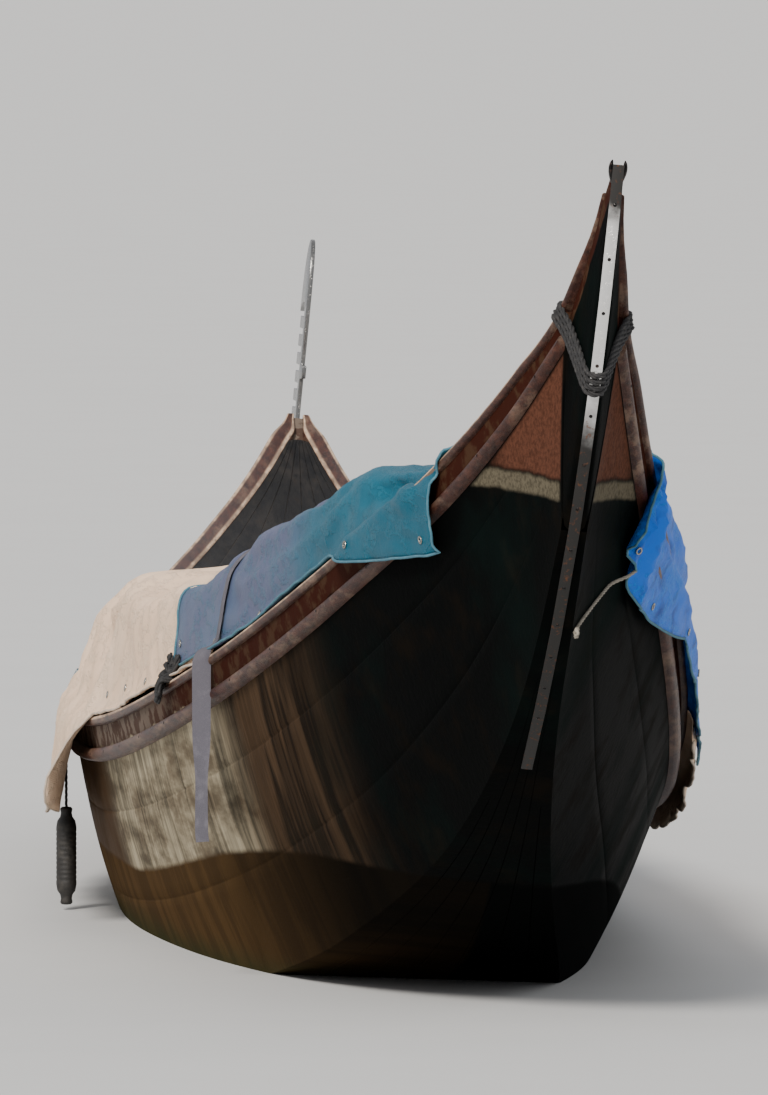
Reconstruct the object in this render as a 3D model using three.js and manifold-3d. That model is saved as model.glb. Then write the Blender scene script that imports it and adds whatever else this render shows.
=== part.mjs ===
// A black rowing gondola of the Venetian kind, afloat and laid up under its covers.
//
// The boat's own axes: +X starboard, +Y the bow, +Z up, z = 0 where it floats upright, x = 0 the plane through
// both ends. The port side is fuller than the starboard side, as on the real boat. Lying empty, such a boat
// leans to starboard, so one outer group turns all of it by HEEL about the middle of the waterline.
// Lengths are millimetres.
import * as THREE from "three";
import { mergeVertices } from "three/addons/utils/BufferGeometryUtils.js";
import Module from "manifold-3d";

const wasm = await Module();
wasm.setup();

const HEEL = THREE.MathUtils.degToRad(5.5);
const PORT = -1;
const STARBOARD = 1;
const GAP = 0.4; // left between pieces that touch

// Hull: thicknesses of its wood and the sizes of the strips along its edges.
const BOTTOM_THICK = 26;
const PLANK = 24;
const SIDE_BULGE = 0.09; // how far a side swells past straight, as a share of its flare
const RAIL = { inside: 46, outside: 13, high: 26, bevel: 5 };
const STRAKE = { below: 52, high: 34, thick: 18 };
const LOW_SIDE = 400; // where the sides are lower than this, the strake closes up to the rail
const INWALE = { thick: 28, below: 12, high: 60 };
const DECK = { thick: 16, rise: 6, camber: 62, flatBeam: 700 }; // under flatBeam wide it crowns less

// The planked hull from the stern to the bow. keel and sheer are heights, the rest are half widths.
const HULL = [
  //  y     keel  sheer  chinePort  chineStar  beamPort  beamStar
  [-5150, 1165, 1650, 29, 29, 64, 62],
  [-5000, 1000, 1535, 34, 33, 112, 104],
  [-4600, 690, 1290, 56, 50, 240, 200],
  [-4000, 375, 1035, 130, 110, 410, 320],
  [-3200, 100, 775, 290, 215, 590, 440],
  [-2200, -80, 570, 450, 315, 735, 535],
  [-1000, -180, 445, 555, 375, 805, 583],
  [200, -200, 418, 577, 390, 808, 590],
  [1400, -165, 450, 505, 360, 718, 555],
  [2500, -60, 540, 382, 280, 585, 462],
  [3400, 120, 655, 217, 168, 420, 338],
  [4100, 375, 785, 102, 86, 268, 225],
  [4600, 655, 915, 50, 46, 148, 132],
  [4900, 872, 1015, 30, 30, 78, 74],
];
const STATIONS = 44; // rings along the planked hull

// The solid ends past the planking: the foot of each ring lies on the outer edge, its top under the rails.
const STERN_HEAD = [
  // footY  footZ  topY   topZ  footHalf  topHalf
  [-5151, 1165, -5151, 1650, 28, 60],
  [-5255, 1325, -5228, 1738, 24, 45],
  [-5335, 1500, -5293, 1828, 20, 32],
  [-5385, 1685, -5342, 1912, 16, 22],
  [-5406, 1850, -5374, 1972, 12, 14],
  [-5412, 1990, -5394, 2000, 9, 9],
];
const BOW_HEAD = [
  [4901, 872, 4901, 1014, 28, 72],
  [5005, 975, 4998, 1056, 23, 52],
  [5085, 1072, 5078, 1098, 18, 32],
];

const COCKPIT = { aft: -2430, fore: 2560, bulkhead: 20, clear: 3 };
const FLOOR = { from: -1720, to: 1980, bottom: -36, thick: 18 };
const RIBS = { from: -1640, to: 1900, count: 7, wide: 34, deep: 44, topBelow: 78, clear: 1.5 };
const THWARTS = { aft: -1860, fore: 1700, wide: 190, thick: 30, belowRail: 92 };
const SEAT = { y: -1010, deep: 560, port: 460, starboard: 300, under: 250, thick: 90 };
const SEAT_BACK = { y: -1330, thick: 70, high: 660 };
const CHAIRS = { y: -250, side: 400, port: 520, starboard: 300, high: 640, seat: 270, back: 60 };
const FORCOLA_BLOCK = { from: -2860, to: -2560, wide: 62, fromRail: 10, aboveRail: 38, socket: [120, 26, 30] };
const PLATFORM = { from: -3500, to: -3080, left: -290, right: 60, least: 24 };

// Sides and rails are made in three lengths, which meet at the ends of the cockpit.
const LENGTHS = [
  ["aft", -Infinity, COCKPIT.aft],
  ["mid", COCKPIT.aft, COCKPIT.fore],
  ["fore", COCKPIT.fore, Infinity],
];
const SHORT_RUN = 20; // a ring nearer than this to a cut is left out

// Iron at both ends.
const STERN_IRON = { from: -4300, wide: 26, thick: 4, clear: 1 };
const BOW_IRON = {
  thick: 12, from: 4380, deep: 46, thinStart: 0.4, neck: 5152, firstTooth: 1092,
  teeth: 6, tooth: 34, space: 18, reach: 150,
};
// Its broad head, as curves over the neck above the last tooth, then the tooth that points aft.
const IRON_HEAD = [
  // controlY  controlZ  y    z
  [20, 30, 70, 24],
  [150, 22, 198, -6],
  [196, 130, 92, 186],
  [-20, 240, -58, 132],
  [-82, 20, -62, -152],
];
const IRON_BACK = [[-150, 156], [-150, 122], [-62, 118], [-60, 10]]; // from the neck, over the first tooth

// Covers: heights above the rails and depths of the hems below them, along the boat. The wall is the steep part
// just inside a rail. A hem under 0 ends on the rail, and tuck 1 lays a hem against the planks.
const COVER_THICK = 6;
const COVER_EDGE = {
  hemOut: 20, dropOut: 16, dropDown: 14, turnOut: 4, edgeIn: 0.6, inEdge: 9, inRail: 24, onRail: 3, offPlanks: 8,
};
const COVER_KNOTS = [
  // share of the half width, share of the way from the wall to the shoulder, share on from there to the ridge
  [0.95, 0, 0],
  [0.84, 0.75, 0],
  [0.62, 1, 0],
  [0.3, 1, 0.75],
];
const COVERS = {
  cover_aft: {
    color: 0x2c5f86,
    rows: [
      //  y   ridge  wall  shoulder  port hem  starboard hem  tuck
      [-4600, 92, 20, 60, 200, 260, 1],
      [-4450, 112, 28, 76, 170, 240, 1],
      [-4150, 155, 84, 114, 84, 160, 0.8],
      [-3960, 210, 150, 194, 26, 110, 0.5],
      [-3890, 228, 170, 218, -2, 90, 0.4],
      [-3800, 248, 190, 238, -2, 70, 0.3],
      [-3400, 360, 228, 322, -2, 50, 0],
      [-3050, 330, 235, 296, -2, 50, 0],
      [-2780, 320, 232, 288, -2, 70, 0],
    ],
  },
  cover_main: {
    color: 0xcfc5ae,
    rows: [
      [-2770, 330, 240, 298, -2, 70, 0],
      [-2300, 370, 245, 325, -2, 90, 0],
      [-1700, 450, 250, 335, -2, 110, 0],
      [-1300, 480, 300, 360, -2, 120, 0],
      [-980, 484, 315, 384, -2, 125, 0],
      [-910, 484, 312, 386, 26, 126, 0],
      [-700, 480, 305, 398, 80, 130, 0],
      [-100, 450, 250, 380, 236, 150, 0],
      [500, 400, 215, 330, 280, 150, 0],
      [1050, 345, 185, 290, 250, 130, 0],
      [1400, 300, 150, 245, 150, 90, 0],
    ],
  },
  cover_fore: {
    color: 0x3a4f7a,
    rows: [
      [1410, 292, 142, 237, 50, 60, 0],
      [1900, 215, 95, 170, 50, 60, 0],
      [2400, 150, 60, 112, 40, 50, 0],
      [2850, 110, 40, 80, 24, 30, 0],
      [3050, 92, 30, 66, -2, -2, 0],
    ],
  },
};
// The strap takes the points of the cover's line from one number up to another.
const STRAP = { y: -2890, wide: 46, thick: 5, clear: 2, outside: 8, turn: 5, from: 4, to: 9, hang: 440 };
const FENDER = { y: 40, radius: 26, line: 240, long: 250, sides: 14, cordRadius: 4, above: 8, knot: 10 };

const FINISH = {
  black: { color: 0x15161a, roughness: 0.32, metalness: 0 },
  tar: { color: 0x4a3a2a, roughness: 0.8, metalness: 0 },
  wornWood: { color: 0x6d4a32, roughness: 0.6, metalness: 0 },
  innerWood: { color: 0x3c2418, roughness: 0.55, metalness: 0 },
  iron: { color: 0xc6c8ca, roughness: 0.3, metalness: 1 },
  cushion: { color: 0x6a1420, roughness: 0.7, metalness: 0 },
  strap: { color: 0xb9b6cc, roughness: 0.85, metalness: 0 },
  rubber: { color: 0x1b1a19, roughness: 0.75, metalness: 0 },
};

const boat = new THREE.Group();
boat.rotation.y = HEEL;

const at = (x, y, z) => new THREE.Vector3(x, y, z);
const mix = THREE.MathUtils.lerp;

function add(name, geometry, finish) {
  const mesh = new THREE.Mesh(geometry, new THREE.MeshStandardMaterial(finish));
  mesh.name = name;
  boat.add(mesh);
}

// Twice the signed area of a loop of [u, v] pairs.
function turn(loop) {
  return loop.reduce((sum, [u, v], i) => {
    const [p, q] = loop[(i + 1) % loop.length];
    return sum + u * q - p * v;
  }, 0);
}

// The ring's points on the plane that it faces most.
function flatten(ring) {
  const normal = at(0, 0, 0);
  ring.forEach((p, i) => normal.add(p.clone().cross(ring[(i + 1) % ring.length])));
  const [nx, ny, nz] = normal.toArray().map(Math.abs);
  if (ny >= nx && ny >= nz) return ring.map((p) => [p.z, p.x]);
  return nz >= nx ? ring.map((p) => [p.x, p.y]) : ring.map((p) => [p.y, p.z]);
}

function capFaces(ring, first) {
  const loop = flatten(ring);
  const faces = THREE.ShapeUtils.triangulateShape(loop.map(([u, v]) => new THREE.Vector2(u, v)), []);
  const way = Math.sign(turn(loop));
  return faces.map((face) => {
    const same = Math.sign(turn(face.map((i) => loop[i]))) === way;
    return (same ? face : [face[0], face[2], face[1]]).map((i) => i + first);
  });
}

function volumeOf(points, index) {
  let six = 0;
  for (let i = 0; i < index.length; i += 3) {
    const [a, b, c] = [points[index[i]], points[index[i + 1]], points[index[i + 2]]];
    six += a.dot(b.clone().cross(c));
  }
  return six / 6;
}

// One closed body through rings that have the same number of points, with a flat cap at each end.
function loft(rings) {
  const count = rings[0].length;
  const last = (rings.length - 1) * count;
  const points = rings.flat();
  const index = [];
  for (let r = 0; r < last; r += count) {
    for (let i = 0; i < count; i++) {
      const j = (i + 1) % count;
      index.push(r + i, r + j, r + count + j, r + i, r + count + j, r + count + i);
    }
  }
  for (const [a, b, c] of capFaces(rings[0], 0)) index.push(a, c, b);
  for (const [a, b, c] of capFaces(rings[rings.length - 1], last)) index.push(a, b, c);
  if (volumeOf(points, index) < 0) index.reverse();
  return new THREE.BufferGeometry().setFromPoints(points).setIndex(index);
}

function solidOf(geometry) {
  const merged = mergeVertices(geometry, 1e-3);
  const vertProperties = new Float32Array(merged.getAttribute("position").array);
  const triVerts = new Uint32Array(merged.index.array);
  return new wasm.Manifold(new wasm.Mesh({ numProp: 3, vertProperties, triVerts }));
}

function geometryOf(solid) {
  const { vertProperties, triVerts } = solid.getMesh();
  const geometry = new THREE.BufferGeometry();
  geometry.setAttribute("position", new THREE.BufferAttribute(vertProperties, 3));
  return geometry.setIndex(Array.from(triVerts));
}

const joined = (parts) => geometryOf(parts.map(solidOf).reduce((whole, solid) => whole.add(solid)));
const cut = (part, tool) => geometryOf(solidOf(part).subtract(solidOf(tool)));

function bare(geometry) {
  geometry.deleteAttribute("normal");
  geometry.deleteAttribute("uv");
  return geometry;
}

function box(x, y, z, wide, long, high) {
  return bare(new THREE.BoxGeometry(wide, long, high)).translate(x, y, z);
}

// The hull's measures at any y along its planking.
const hullCurve = new THREE.CubicInterpolant(
  HULL.map((row) => row[0]),
  HULL.flatMap((row) => row.slice(1)),
  6,
);

function stationOf(y, [keel, sheer, chinePort, chineStar, beamPort, beamStar]) {
  return {
    foot: { y, z: keel },
    top: { y, z: sheer },
    chine: { [PORT]: chinePort, [STARBOARD]: chineStar },
    beam: { [PORT]: beamPort, [STARBOARD]: beamStar },
  };
}

// The planking runs straight between its rings, and what is fitted to it reads the same straight runs.
const first = HULL[0][0];
const final = HULL[HULL.length - 1][0];
const ringYs = Array.from({ length: STATIONS }, (_, i) => mix(first, final, i / (STATIONS - 1)));
const ringValues = ringYs.map((y) => Array.from(hullCurve.evaluate(y)));
const straightRuns = new THREE.LinearInterpolant(ringYs, ringValues.flat(), 6);
const station = (y) => stationOf(y, straightRuns.evaluate(y));

function headStation([footY, footZ, topY, topZ, footHalf, topHalf]) {
  return {
    foot: { y: footY, z: footZ },
    top: { y: topY, z: topZ },
    chine: { [PORT]: footHalf, [STARBOARD]: footHalf },
    beam: { [PORT]: topHalf, [STARBOARD]: topHalf },
  };
}

const planked = ringYs.map((y, i) => stationOf(y, ringValues[i]));
const sternHead = STERN_HEAD.map(headStation);
const bowHead = BOW_HEAD.map(headStation);
const between = (from, to) => planked.filter((s) => s.top.y > from && s.top.y < to);

// The rings of one of the LENGTHS, with a new ring at each cut.
function lengthOf(rings, [, from, to]) {
  const inner = rings.filter((s) => s.top.y > from + SHORT_RUN && s.top.y < to - SHORT_RUN);
  if (from > -Infinity) inner.unshift(station(from + GAP / 2));
  if (to < Infinity) inner.push(station(to - GAP / 2));
  return inner;
}

// The shares of a side's height where its section has a knot: the last two take the strake's edges.
function knotsOf(s) {
  const tall = s.top.z - s.foot.z;
  const squeeze = Math.min(1, tall / LOW_SIDE);
  const upper = 1 - (STRAKE.below * squeeze) / tall;
  const lower = 1 - ((STRAKE.below + STRAKE.high) * squeeze) / tall;
  return [0, 0.36, lower, upper, 1];
}

// A point on the hull's outer skin: share 0 at the chine, 1 at the sheer, straight between the knots.
function skinAt(s, side, share) {
  const knots = knotsOf(s);
  const bulged = (t) => t + SIDE_BULGE * Math.sin(Math.PI * t);
  const found = knots.findIndex((knot) => knot >= share - 1e-9);
  const k = Math.max(found < 0 ? knots.length - 1 : found, 1);
  const local = (share - knots[k - 1]) / (knots[k] - knots[k - 1]);
  const out = mix(bulged(knots[k - 1]), bulged(knots[k]), local);
  const width = mix(s.chine[side], s.beam[side], out);
  return at(side * width, mix(s.foot.y, s.top.y, share), mix(s.foot.z, s.top.z, share));
}

// Half width inside the planking at a height.
function insideAt(y, side, z) {
  const s = station(y);
  const share = THREE.MathUtils.clamp((z - s.foot.z) / (s.top.z - s.foot.z), 0, 1);
  return Math.abs(skinAt(s, side, share).x) - PLANK;
}

function addHull() {
  const bottom = planked.map((s) => [
    at(-s.chine[PORT], s.foot.y, s.foot.z),
    at(s.chine[STARBOARD], s.foot.y, s.foot.z),
    at(s.chine[STARBOARD], s.foot.y, s.foot.z + BOTTOM_THICK),
    at(-s.chine[PORT], s.foot.y, s.foot.z + BOTTOM_THICK),
  ]);
  add("bottom_planks", loft(bottom), FINISH.tar);
  for (const [side, name] of [[PORT, "side_port"], [STARBOARD, "side_starboard"]]) {
    for (const length of LENGTHS) {
      const rings = lengthOf(planked, length).map((s) => {
        const low = (BOTTOM_THICK + GAP) / (s.top.z - s.foot.z);
        const outer = [low, ...knotsOf(s).slice(1)].map((t) => skinAt(s, side, t));
        const inner = outer.map((p) => at(p.x - side * PLANK, p.y, p.z));
        return [...outer, ...inner.reverse()];
      });
      add(`${name}_${length[0]}`, loft(rings), FINISH.black);
    }
  }
  for (const [rows, name] of [[sternHead, "stern_head"], [bowHead, "bow_head"]]) {
    const rings = rows.map((s) => [
      at(-s.chine[PORT], s.foot.y, s.foot.z),
      at(s.chine[STARBOARD], s.foot.y, s.foot.z),
      at(s.beam[STARBOARD], s.top.y, s.top.z),
      at(-s.beam[PORT], s.top.y, s.top.z),
    ]);
    add(name, loft(rings), FINISH.black);
  }
}

// The strip that caps the planks' upper edges, and the strake outside it, from one head to the other.
function addStrips() {
  const capped = [...sternHead.slice(1, 4).reverse(), ...planked, ...bowHead.slice(1)];
  const { inside, outside, high, bevel } = RAIL;
  for (const [side, name] of [[PORT, "port"], [STARBOARD, "starboard"]]) {
    for (const length of LENGTHS) {
      const rail = lengthOf(capped, length).map((s) => {
        const out = s.beam[side] + outside;
        const inn = Math.max(s.beam[side] - inside, 1);
        const z = s.top.z + GAP;
        const section = [
          [inn, z], [out, z], [out, z + high - bevel], [out - bevel, z + high], [inn + bevel, z + high],
          [inn, z + high - bevel],
        ];
        return section.map(([x, h]) => at(side * x, s.top.y, h));
      });
      add(`rail_${name}_${length[0]}`, loft(rail), FINISH.wornWood);
    }
    const strake = planked.map((s) => {
      const [lower, upper] = knotsOf(s).slice(2, 4).map((t) => skinAt(s, side, t));
      const out = (p, by) => at(p.x + side * by, p.y, p.z);
      return [out(upper, GAP), out(upper, STRAKE.thick), out(lower, STRAKE.thick), out(lower, GAP)];
    });
    add("strake_" + name, loft(strake), FINISH.wornWood);
    const inwale = between(COCKPIT.aft + 40, COCKPIT.fore - 40).map((s) => {
      const z = s.top.z - INWALE.below;
      const wall = (h) => insideAt(s.top.y, side, h) - GAP;
      const high2 = z - INWALE.high;
      return [
        at(side * wall(z), s.top.y, z), at(side * (wall(z) - INWALE.thick), s.top.y, z),
        at(side * (wall(high2) - INWALE.thick), s.top.y, high2), at(side * wall(high2), s.top.y, high2),
      ];
    });
    add("inwale_" + name, loft(inwale), FINISH.innerWood);
  }
}

// Heights of a deck's upper side across the boat: share 0 at the port rail, 1 at the starboard rail.
function deckPoint(s, share, lift) {
  const left = -(s.beam[PORT] - RAIL.inside - GAP);
  const right = s.beam[STARBOARD] - RAIL.inside - GAP;
  const camber = DECK.camber * Math.min(1, (right - left) / DECK.flatBeam) * (1 - (2 * share - 1) ** 2);
  return at(mix(left, right, share), s.top.y, s.top.z + DECK.rise + camber + lift);
}

const DECK_SHARES = [0, 0.2, 0.4, 0.5, 0.6, 0.8, 1];

function deck(rows) {
  return loft(rows.map((s) => [
    ...DECK_SHARES.map((u) => deckPoint(s, u, 0)),
    ...DECK_SHARES.toReversed().map((u) => deckPoint(s, u, DECK.thick)),
  ]));
}

const aftDeck = deck([...between(first - 1, COCKPIT.aft - 60), station(COCKPIT.aft)]);
const foredeck = deck([station(COCKPIT.fore), ...between(COCKPIT.fore + 60, final + 1)]);

function addDecks() {
  add("aft_deck", aftDeck, FINISH.black);
  add("foredeck", foredeck, FINISH.black);
  for (const [name, y] of [["bulkhead_aft", COCKPIT.aft + 2], ["bulkhead_fore", COCKPIT.fore - 22]]) {
    add(name, loft([bulkheadRing(y), bulkheadRing(y, COCKPIT.bulkhead)]), FINISH.innerWood);
  }
}

// A board across the boat, clear of the planks at both of its faces.
function bulkheadRing(y, shift = 0) {
  const ends = [y, y + COCKPIT.bulkhead];
  const low = Math.max(...ends.map((e) => station(e).foot.z)) + BOTTOM_THICK + GAP;
  const high = Math.min(...ends.map((e) => station(e).top.z)) + DECK.rise - GAP;
  const inside = (side, z) => Math.min(...ends.map((e) => insideAt(e, side, z))) - COCKPIT.clear;
  const heights = [0, 0.34, 0.67, 0.9].map((t) => mix(low, high - 6, t));
  const port = heights.map((z) => at(-inside(PORT, z), y + shift, z));
  const star = heights.map((z) => at(inside(STARBOARD, z), y + shift, z));
  const crown = [-300, 0, 250].map((x) => at(x, y + shift, high));
  return [...star, ...crown.reverse(), ...port.reverse()];
}

// Ribs: each stands on the bottom, follows the inside of the planks and stays under the floor.
function ribRing(y) {
  const ends = [y - RIBS.wide / 2, y + RIBS.wide / 2];
  const low = Math.max(...ends.map((e) => station(e).foot.z)) + BOTTOM_THICK + GAP;
  const top = station(y).top.z - RIBS.topBelow;
  const wall = (side, z) => Math.min(...ends.map((e) => insideAt(e, side, z))) - RIBS.clear;
  const floorLine = FLOOR.bottom - GAP;
  const outer = [low, mix(low, top, 0.34), mix(low, top, 0.67), top];
  const inner = [top, mix(low, top, 0.67), Math.max(mix(low, top, 0.34), floorLine), floorLine];
  const arm = (side) => [
    ...outer.map((z) => [side * wall(side, z), z]),
    ...inner.map((z) => [side * (wall(side, z) - RIBS.deep), z]),
  ];
  return [...arm(STARBOARD), ...arm(PORT).reverse()];
}

function addRibs() {
  for (let i = 0; i < RIBS.count; i++) {
    const y = mix(RIBS.from, RIBS.to, i / (RIBS.count - 1));
    const ring = ribRing(y);
    const rings = [-1, 1].map((d) => ring.map(([x, z]) => at(x, y + (d * RIBS.wide) / 2, z)));
    add(`rib_${i + 1}`, loft(rings), FINISH.innerWood);
  }
}

function addInside() {
  const edge = (y, side, z) => side * (insideAt(y, side, z) - RIBS.deep - 8);
  const floorRows = [station(FLOOR.from), ...between(FLOOR.from + 60, FLOOR.to - 60), station(FLOOR.to)];
  const floorRings = floorRows.map(({ top: { y } }) => {
    const port = edge(y, PORT, FLOOR.bottom);
    const star = edge(y, STARBOARD, FLOOR.bottom);
    const z = FLOOR.bottom;
    return [at(port, y, z), at(star, y, z), at(star, y, z + FLOOR.thick), at(port, y, z + FLOOR.thick)];
  });
  add("cockpit_floor", loft(floorRings), FINISH.innerWood);
  for (const [name, y] of [["thwart_aft", THWARTS.aft], ["thwart_fore", THWARTS.fore]]) {
    const z = station(y).top.z - THWARTS.belowRail;
    const ends = [y - THWARTS.wide / 2, y + THWARTS.wide / 2];
    const reach = (side) => Math.min(...ends.map((e) => insideAt(e, side, z - THWARTS.thick))) - GAP;
    const [port, star] = [reach(PORT), reach(STARBOARD)];
    const board = box((star - port) / 2, y, z - THWARTS.thick / 2, star + port, THWARTS.wide, THWARTS.thick);
    add(name, board, FINISH.innerWood);
  }
}

// The passengers' bench with its back, and the two chairs that hold the covers up.
function addSeats() {
  const floorTop = FLOOR.bottom + FLOOR.thick + GAP;
  const middle = (SEAT.starboard - SEAT.port) / 2;
  const wide = SEAT.starboard + SEAT.port;
  const frameZ = floorTop + SEAT.under / 2;
  add("seat_frame", box(middle, SEAT.y, frameZ, wide, SEAT.deep, SEAT.under), FINISH.innerWood);
  const cushionZ = floorTop + SEAT.under + GAP + SEAT.thick / 2;
  add("seat_cushion", box(middle, SEAT.y, cushionZ, wide, SEAT.deep, SEAT.thick), FINISH.cushion);
  const back = box(middle, SEAT_BACK.y, floorTop + SEAT_BACK.high / 2, wide, SEAT_BACK.thick, SEAT_BACK.high);
  add("seat_back", back, FINISH.innerWood);
  for (const [name, x] of [["chair_port", -CHAIRS.port + 90], ["chair_starboard", CHAIRS.starboard - 90]]) {
    const sign = Math.sign(x);
    const seat = box(x, CHAIRS.y, floorTop + CHAIRS.seat / 2, CHAIRS.side * 0.75, CHAIRS.side, CHAIRS.seat);
    const outer = x + sign * (CHAIRS.side * 0.375 - CHAIRS.back / 2);
    const backrest = box(outer, CHAIRS.y, floorTop + CHAIRS.high / 2, CHAIRS.back, CHAIRS.side, CHAIRS.high);
    add(name, joined([seat, backrest]), FINISH.innerWood);
  }
}

// Points of the hull's lower edge, with the way that faces outwards there.
function edgeWithNormals(rows) {
  return rows.map((s, i) => {
    const before = rows[Math.max(i - 1, 0)].foot;
    const after = rows[Math.min(i + 1, rows.length - 1)].foot;
    const along = new THREE.Vector2(after.y - before.y, after.z - before.z).normalize();
    return { y: s.foot.y, z: s.foot.z, outY: along.y, outZ: -along.x };
  });
}

function addStern() {
  const rows = [...sternHead.slice(1).toReversed(), ...between(first - 1, STERN_IRON.from)];
  const rings = edgeWithNormals(rows).map((p) => {
    const point = (x, by) => at(x, p.y + p.outY * by, p.z + p.outZ * by);
    const half = STERN_IRON.wide / 2;
    const near = GAP + STERN_IRON.clear;
    const far = near + STERN_IRON.thick;
    return [point(-half, near), point(half, near), point(half, far), point(-half, far)];
  });
  add("stern_iron", loft(rings), FINISH.iron);
}

// Height of a deck's upper side, straight between its own rings and knots.
function deckHeight(y, x) {
  const s = station(y);
  const line = DECK_SHARES.map((share) => deckPoint(s, share, DECK.thick));
  const k = Math.max(line.findIndex((p) => p.x >= x), 1);
  return mix(line[k - 1].z, line[k].z, (x - line[k - 1].x) / (line[k].x - line[k - 1].x));
}

// A solid that stands on the aft deck between two ys and two xs, its top at a height given for each y.
function onDeck(from, to, left, right, topAt) {
  const ys = [from, ...between(from + 20, to - 20).map((s) => s.top.y), to];
  const xs = [0, 0.25, 0.5, 0.75, 1].map((u) => mix(left, right, u));
  const block = loft(ys.map((y) => [
    ...xs.map((x) => at(x, y, deckHeight(y, x) - DECK.thick / 2)),
    at(right, y, topAt(y)), at(left, y, topAt(y)),
  ]));
  return cut(block, aftDeck.clone().translate(0, 0, GAP));
}

// The level place on the aft deck where the rower stands.
function addStandingPlatform() {
  const { from, to, left, right, least } = PLATFORM;
  const top = deckHeight(from, (left + right) / 2) + least;
  add("standing_platform", onDeck(from, to, left, right, () => top), FINISH.innerWood);
}

// The bow's iron: a blade up the stem with forward teeth, one tooth aft and a broad curved head.
function addBowIron() {
  const { thick, from, deep, thinStart, neck, firstTooth, teeth, tooth, space, reach } = BOW_IRON;
  const rows = edgeWithNormals([...between(from, final), ...bowHead]);
  const shape = new THREE.Shape();
  const inner = rows.map((p) => [p.y + p.outY * GAP, p.z + p.outZ * GAP]);
  const outer = rows.map((p, i) => {
    const by = mix(deep * thinStart, deep, Math.min(1, i / 3));
    return [p.y + p.outY * by, p.z + p.outZ * by];
  });
  shape.moveTo(...inner[0]);
  for (const p of outer) shape.lineTo(...p);
  for (let i = 0; i < teeth; i++) {
    const z = firstTooth + i * (tooth + space);
    shape.lineTo(neck, z).lineTo(neck + reach, z).lineTo(neck + reach, z + tooth).lineTo(neck, z + tooth);
  }
  const top = firstTooth + teeth * (tooth + space);
  for (const [cy, cz, y, z] of IRON_HEAD) shape.quadraticCurveTo(neck + cy, top + cz, neck + y, top + z);
  for (const [y, z] of IRON_BACK) shape.lineTo(neck + y, firstTooth + z);
  for (const p of inner.toReversed().slice(0, -1)) shape.lineTo(...p);
  const blade = bare(new THREE.ExtrudeGeometry(shape, { depth: thick, bevelEnabled: false, curveSegments: 6 }));
  blade.translate(0, 0, -thick / 2);
  blade.applyMatrix4(new THREE.Matrix4().makeBasis(at(0, 1, 0), at(0, 0, 1), at(1, 0, 0)));
  add("bow_iron", blade, FINISH.iron);
}

// The block inside the starboard rail that takes the rowlock, with its open socket.
function addForcolaBlock() {
  const { from, to, wide, fromRail, aboveRail, socket: [long, across, deep] } = FORCOLA_BLOCK;
  const ends = [from, to].map((y) => station(y).beam[STARBOARD] - RAIL.inside - fromRail);
  const right = Math.min(...ends);
  const topAt = (y) => station(y).top.z + RAIL.high + aboveRail;
  const block = onDeck(from, to, right - wide, right, topAt);
  const middle = (from + to) / 2;
  const socket = box(right - wide / 2, middle, topAt(middle) - deep / 2 + 20, across, long, deep + 40);
  add("forcola_block", cut(block, socket), FINISH.innerWood);
}

// A line of [x, z] points moved out by a distance, square to both of its runs at each point.
function offsetLine(line, by) {
  const squares = line.slice(1).map(([x, z], i) => {
    const size = Math.hypot(x - line[i][0], z - line[i][1]);
    return [-(z - line[i][1]) / size, (x - line[i][0]) / size];
  });
  return line.map(([x, z], i) => {
    const [ax, az] = squares[Math.max(i - 1, 0)];
    const [bx, bz] = squares[Math.min(i, squares.length - 1)];
    const reach = by / (1 + ax * bx + az * bz);
    return [x + (ax + bx) * reach, z + (az + bz) * reach];
  });
}

// The inner line of a cover across the boat, from its port hem to its starboard hem.
function coverLine([y, ridge, wall, shoulder, hemPort, hemStar, tuck]) {
  const s = station(y);
  const railTop = s.top.z + GAP + RAIL.high;
  const { hemOut, dropOut, dropDown, turnOut, edgeIn, inEdge, inRail, onRail, offPlanks } = COVER_EDGE;
  const half = (side, hem) => {
    const beam = s.beam[side];
    const out = beam + RAIL.outside;
    const hanging = (share) => {
      const z = railTop - dropDown - share * hem;
      const plumb = out + mix(dropOut, hemOut, share);
      return [mix(plumb, insideAt(y, side, z) + PLANK + STRAKE.thick + offPlanks, tuck), z];
    };
    const onEdge = (steps) => [out - edgeIn * steps, railTop + turnOut / 2];
    const edge = hem > 0
      ? [hanging(1), hanging(0.6), [out + dropOut, railTop - dropDown], [out + turnOut, railTop + turnOut]]
      : [onEdge(1), onEdge(3), onEdge(5), onEdge(7)];
    const knots = COVER_KNOTS.map(([wide, up, on]) => [beam * wide, mix(mix(wall, shoulder, up), ridge, on)]);
    return [
      ...edge,
      [out - inEdge, railTop + GAP],
      [beam - inRail, railTop + onRail],
      ...knots.map(([x, up]) => [x, railTop + up]),
    ];
  };
  const port = half(PORT, hemPort).map(([x, z]) => [-x, z]);
  const star = half(STARBOARD, hemStar);
  return [...port, [0, railTop + ridge], ...star.reverse()];
}

// The outer line of a cover at any y, straight between its rows.
function coverOuterAt(rows, y) {
  const k = Math.max(rows.findIndex((row) => row[0] >= y), 1);
  const lines = [rows[k - 1], rows[k]].map((row) => offsetLine(coverLine(row), COVER_THICK));
  const t = (y - rows[k - 1][0]) / (rows[k][0] - rows[k - 1][0]);
  return lines[0].map(([x, z], i) => [mix(x, lines[1][i][0], t), mix(z, lines[1][i][1], t)]);
}

function addCovers() {
  for (const [name, { color, rows }] of Object.entries(COVERS)) {
    const rings = rows.map((row) => {
      const inner = coverLine(row);
      const outer = offsetLine(inner, COVER_THICK);
      return [...inner, ...outer.reverse()].map(([x, z]) => at(x, row[0], z));
    });
    add(name, loft(rings), { color, roughness: 0.6, metalness: 0 });
  }
}

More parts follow.
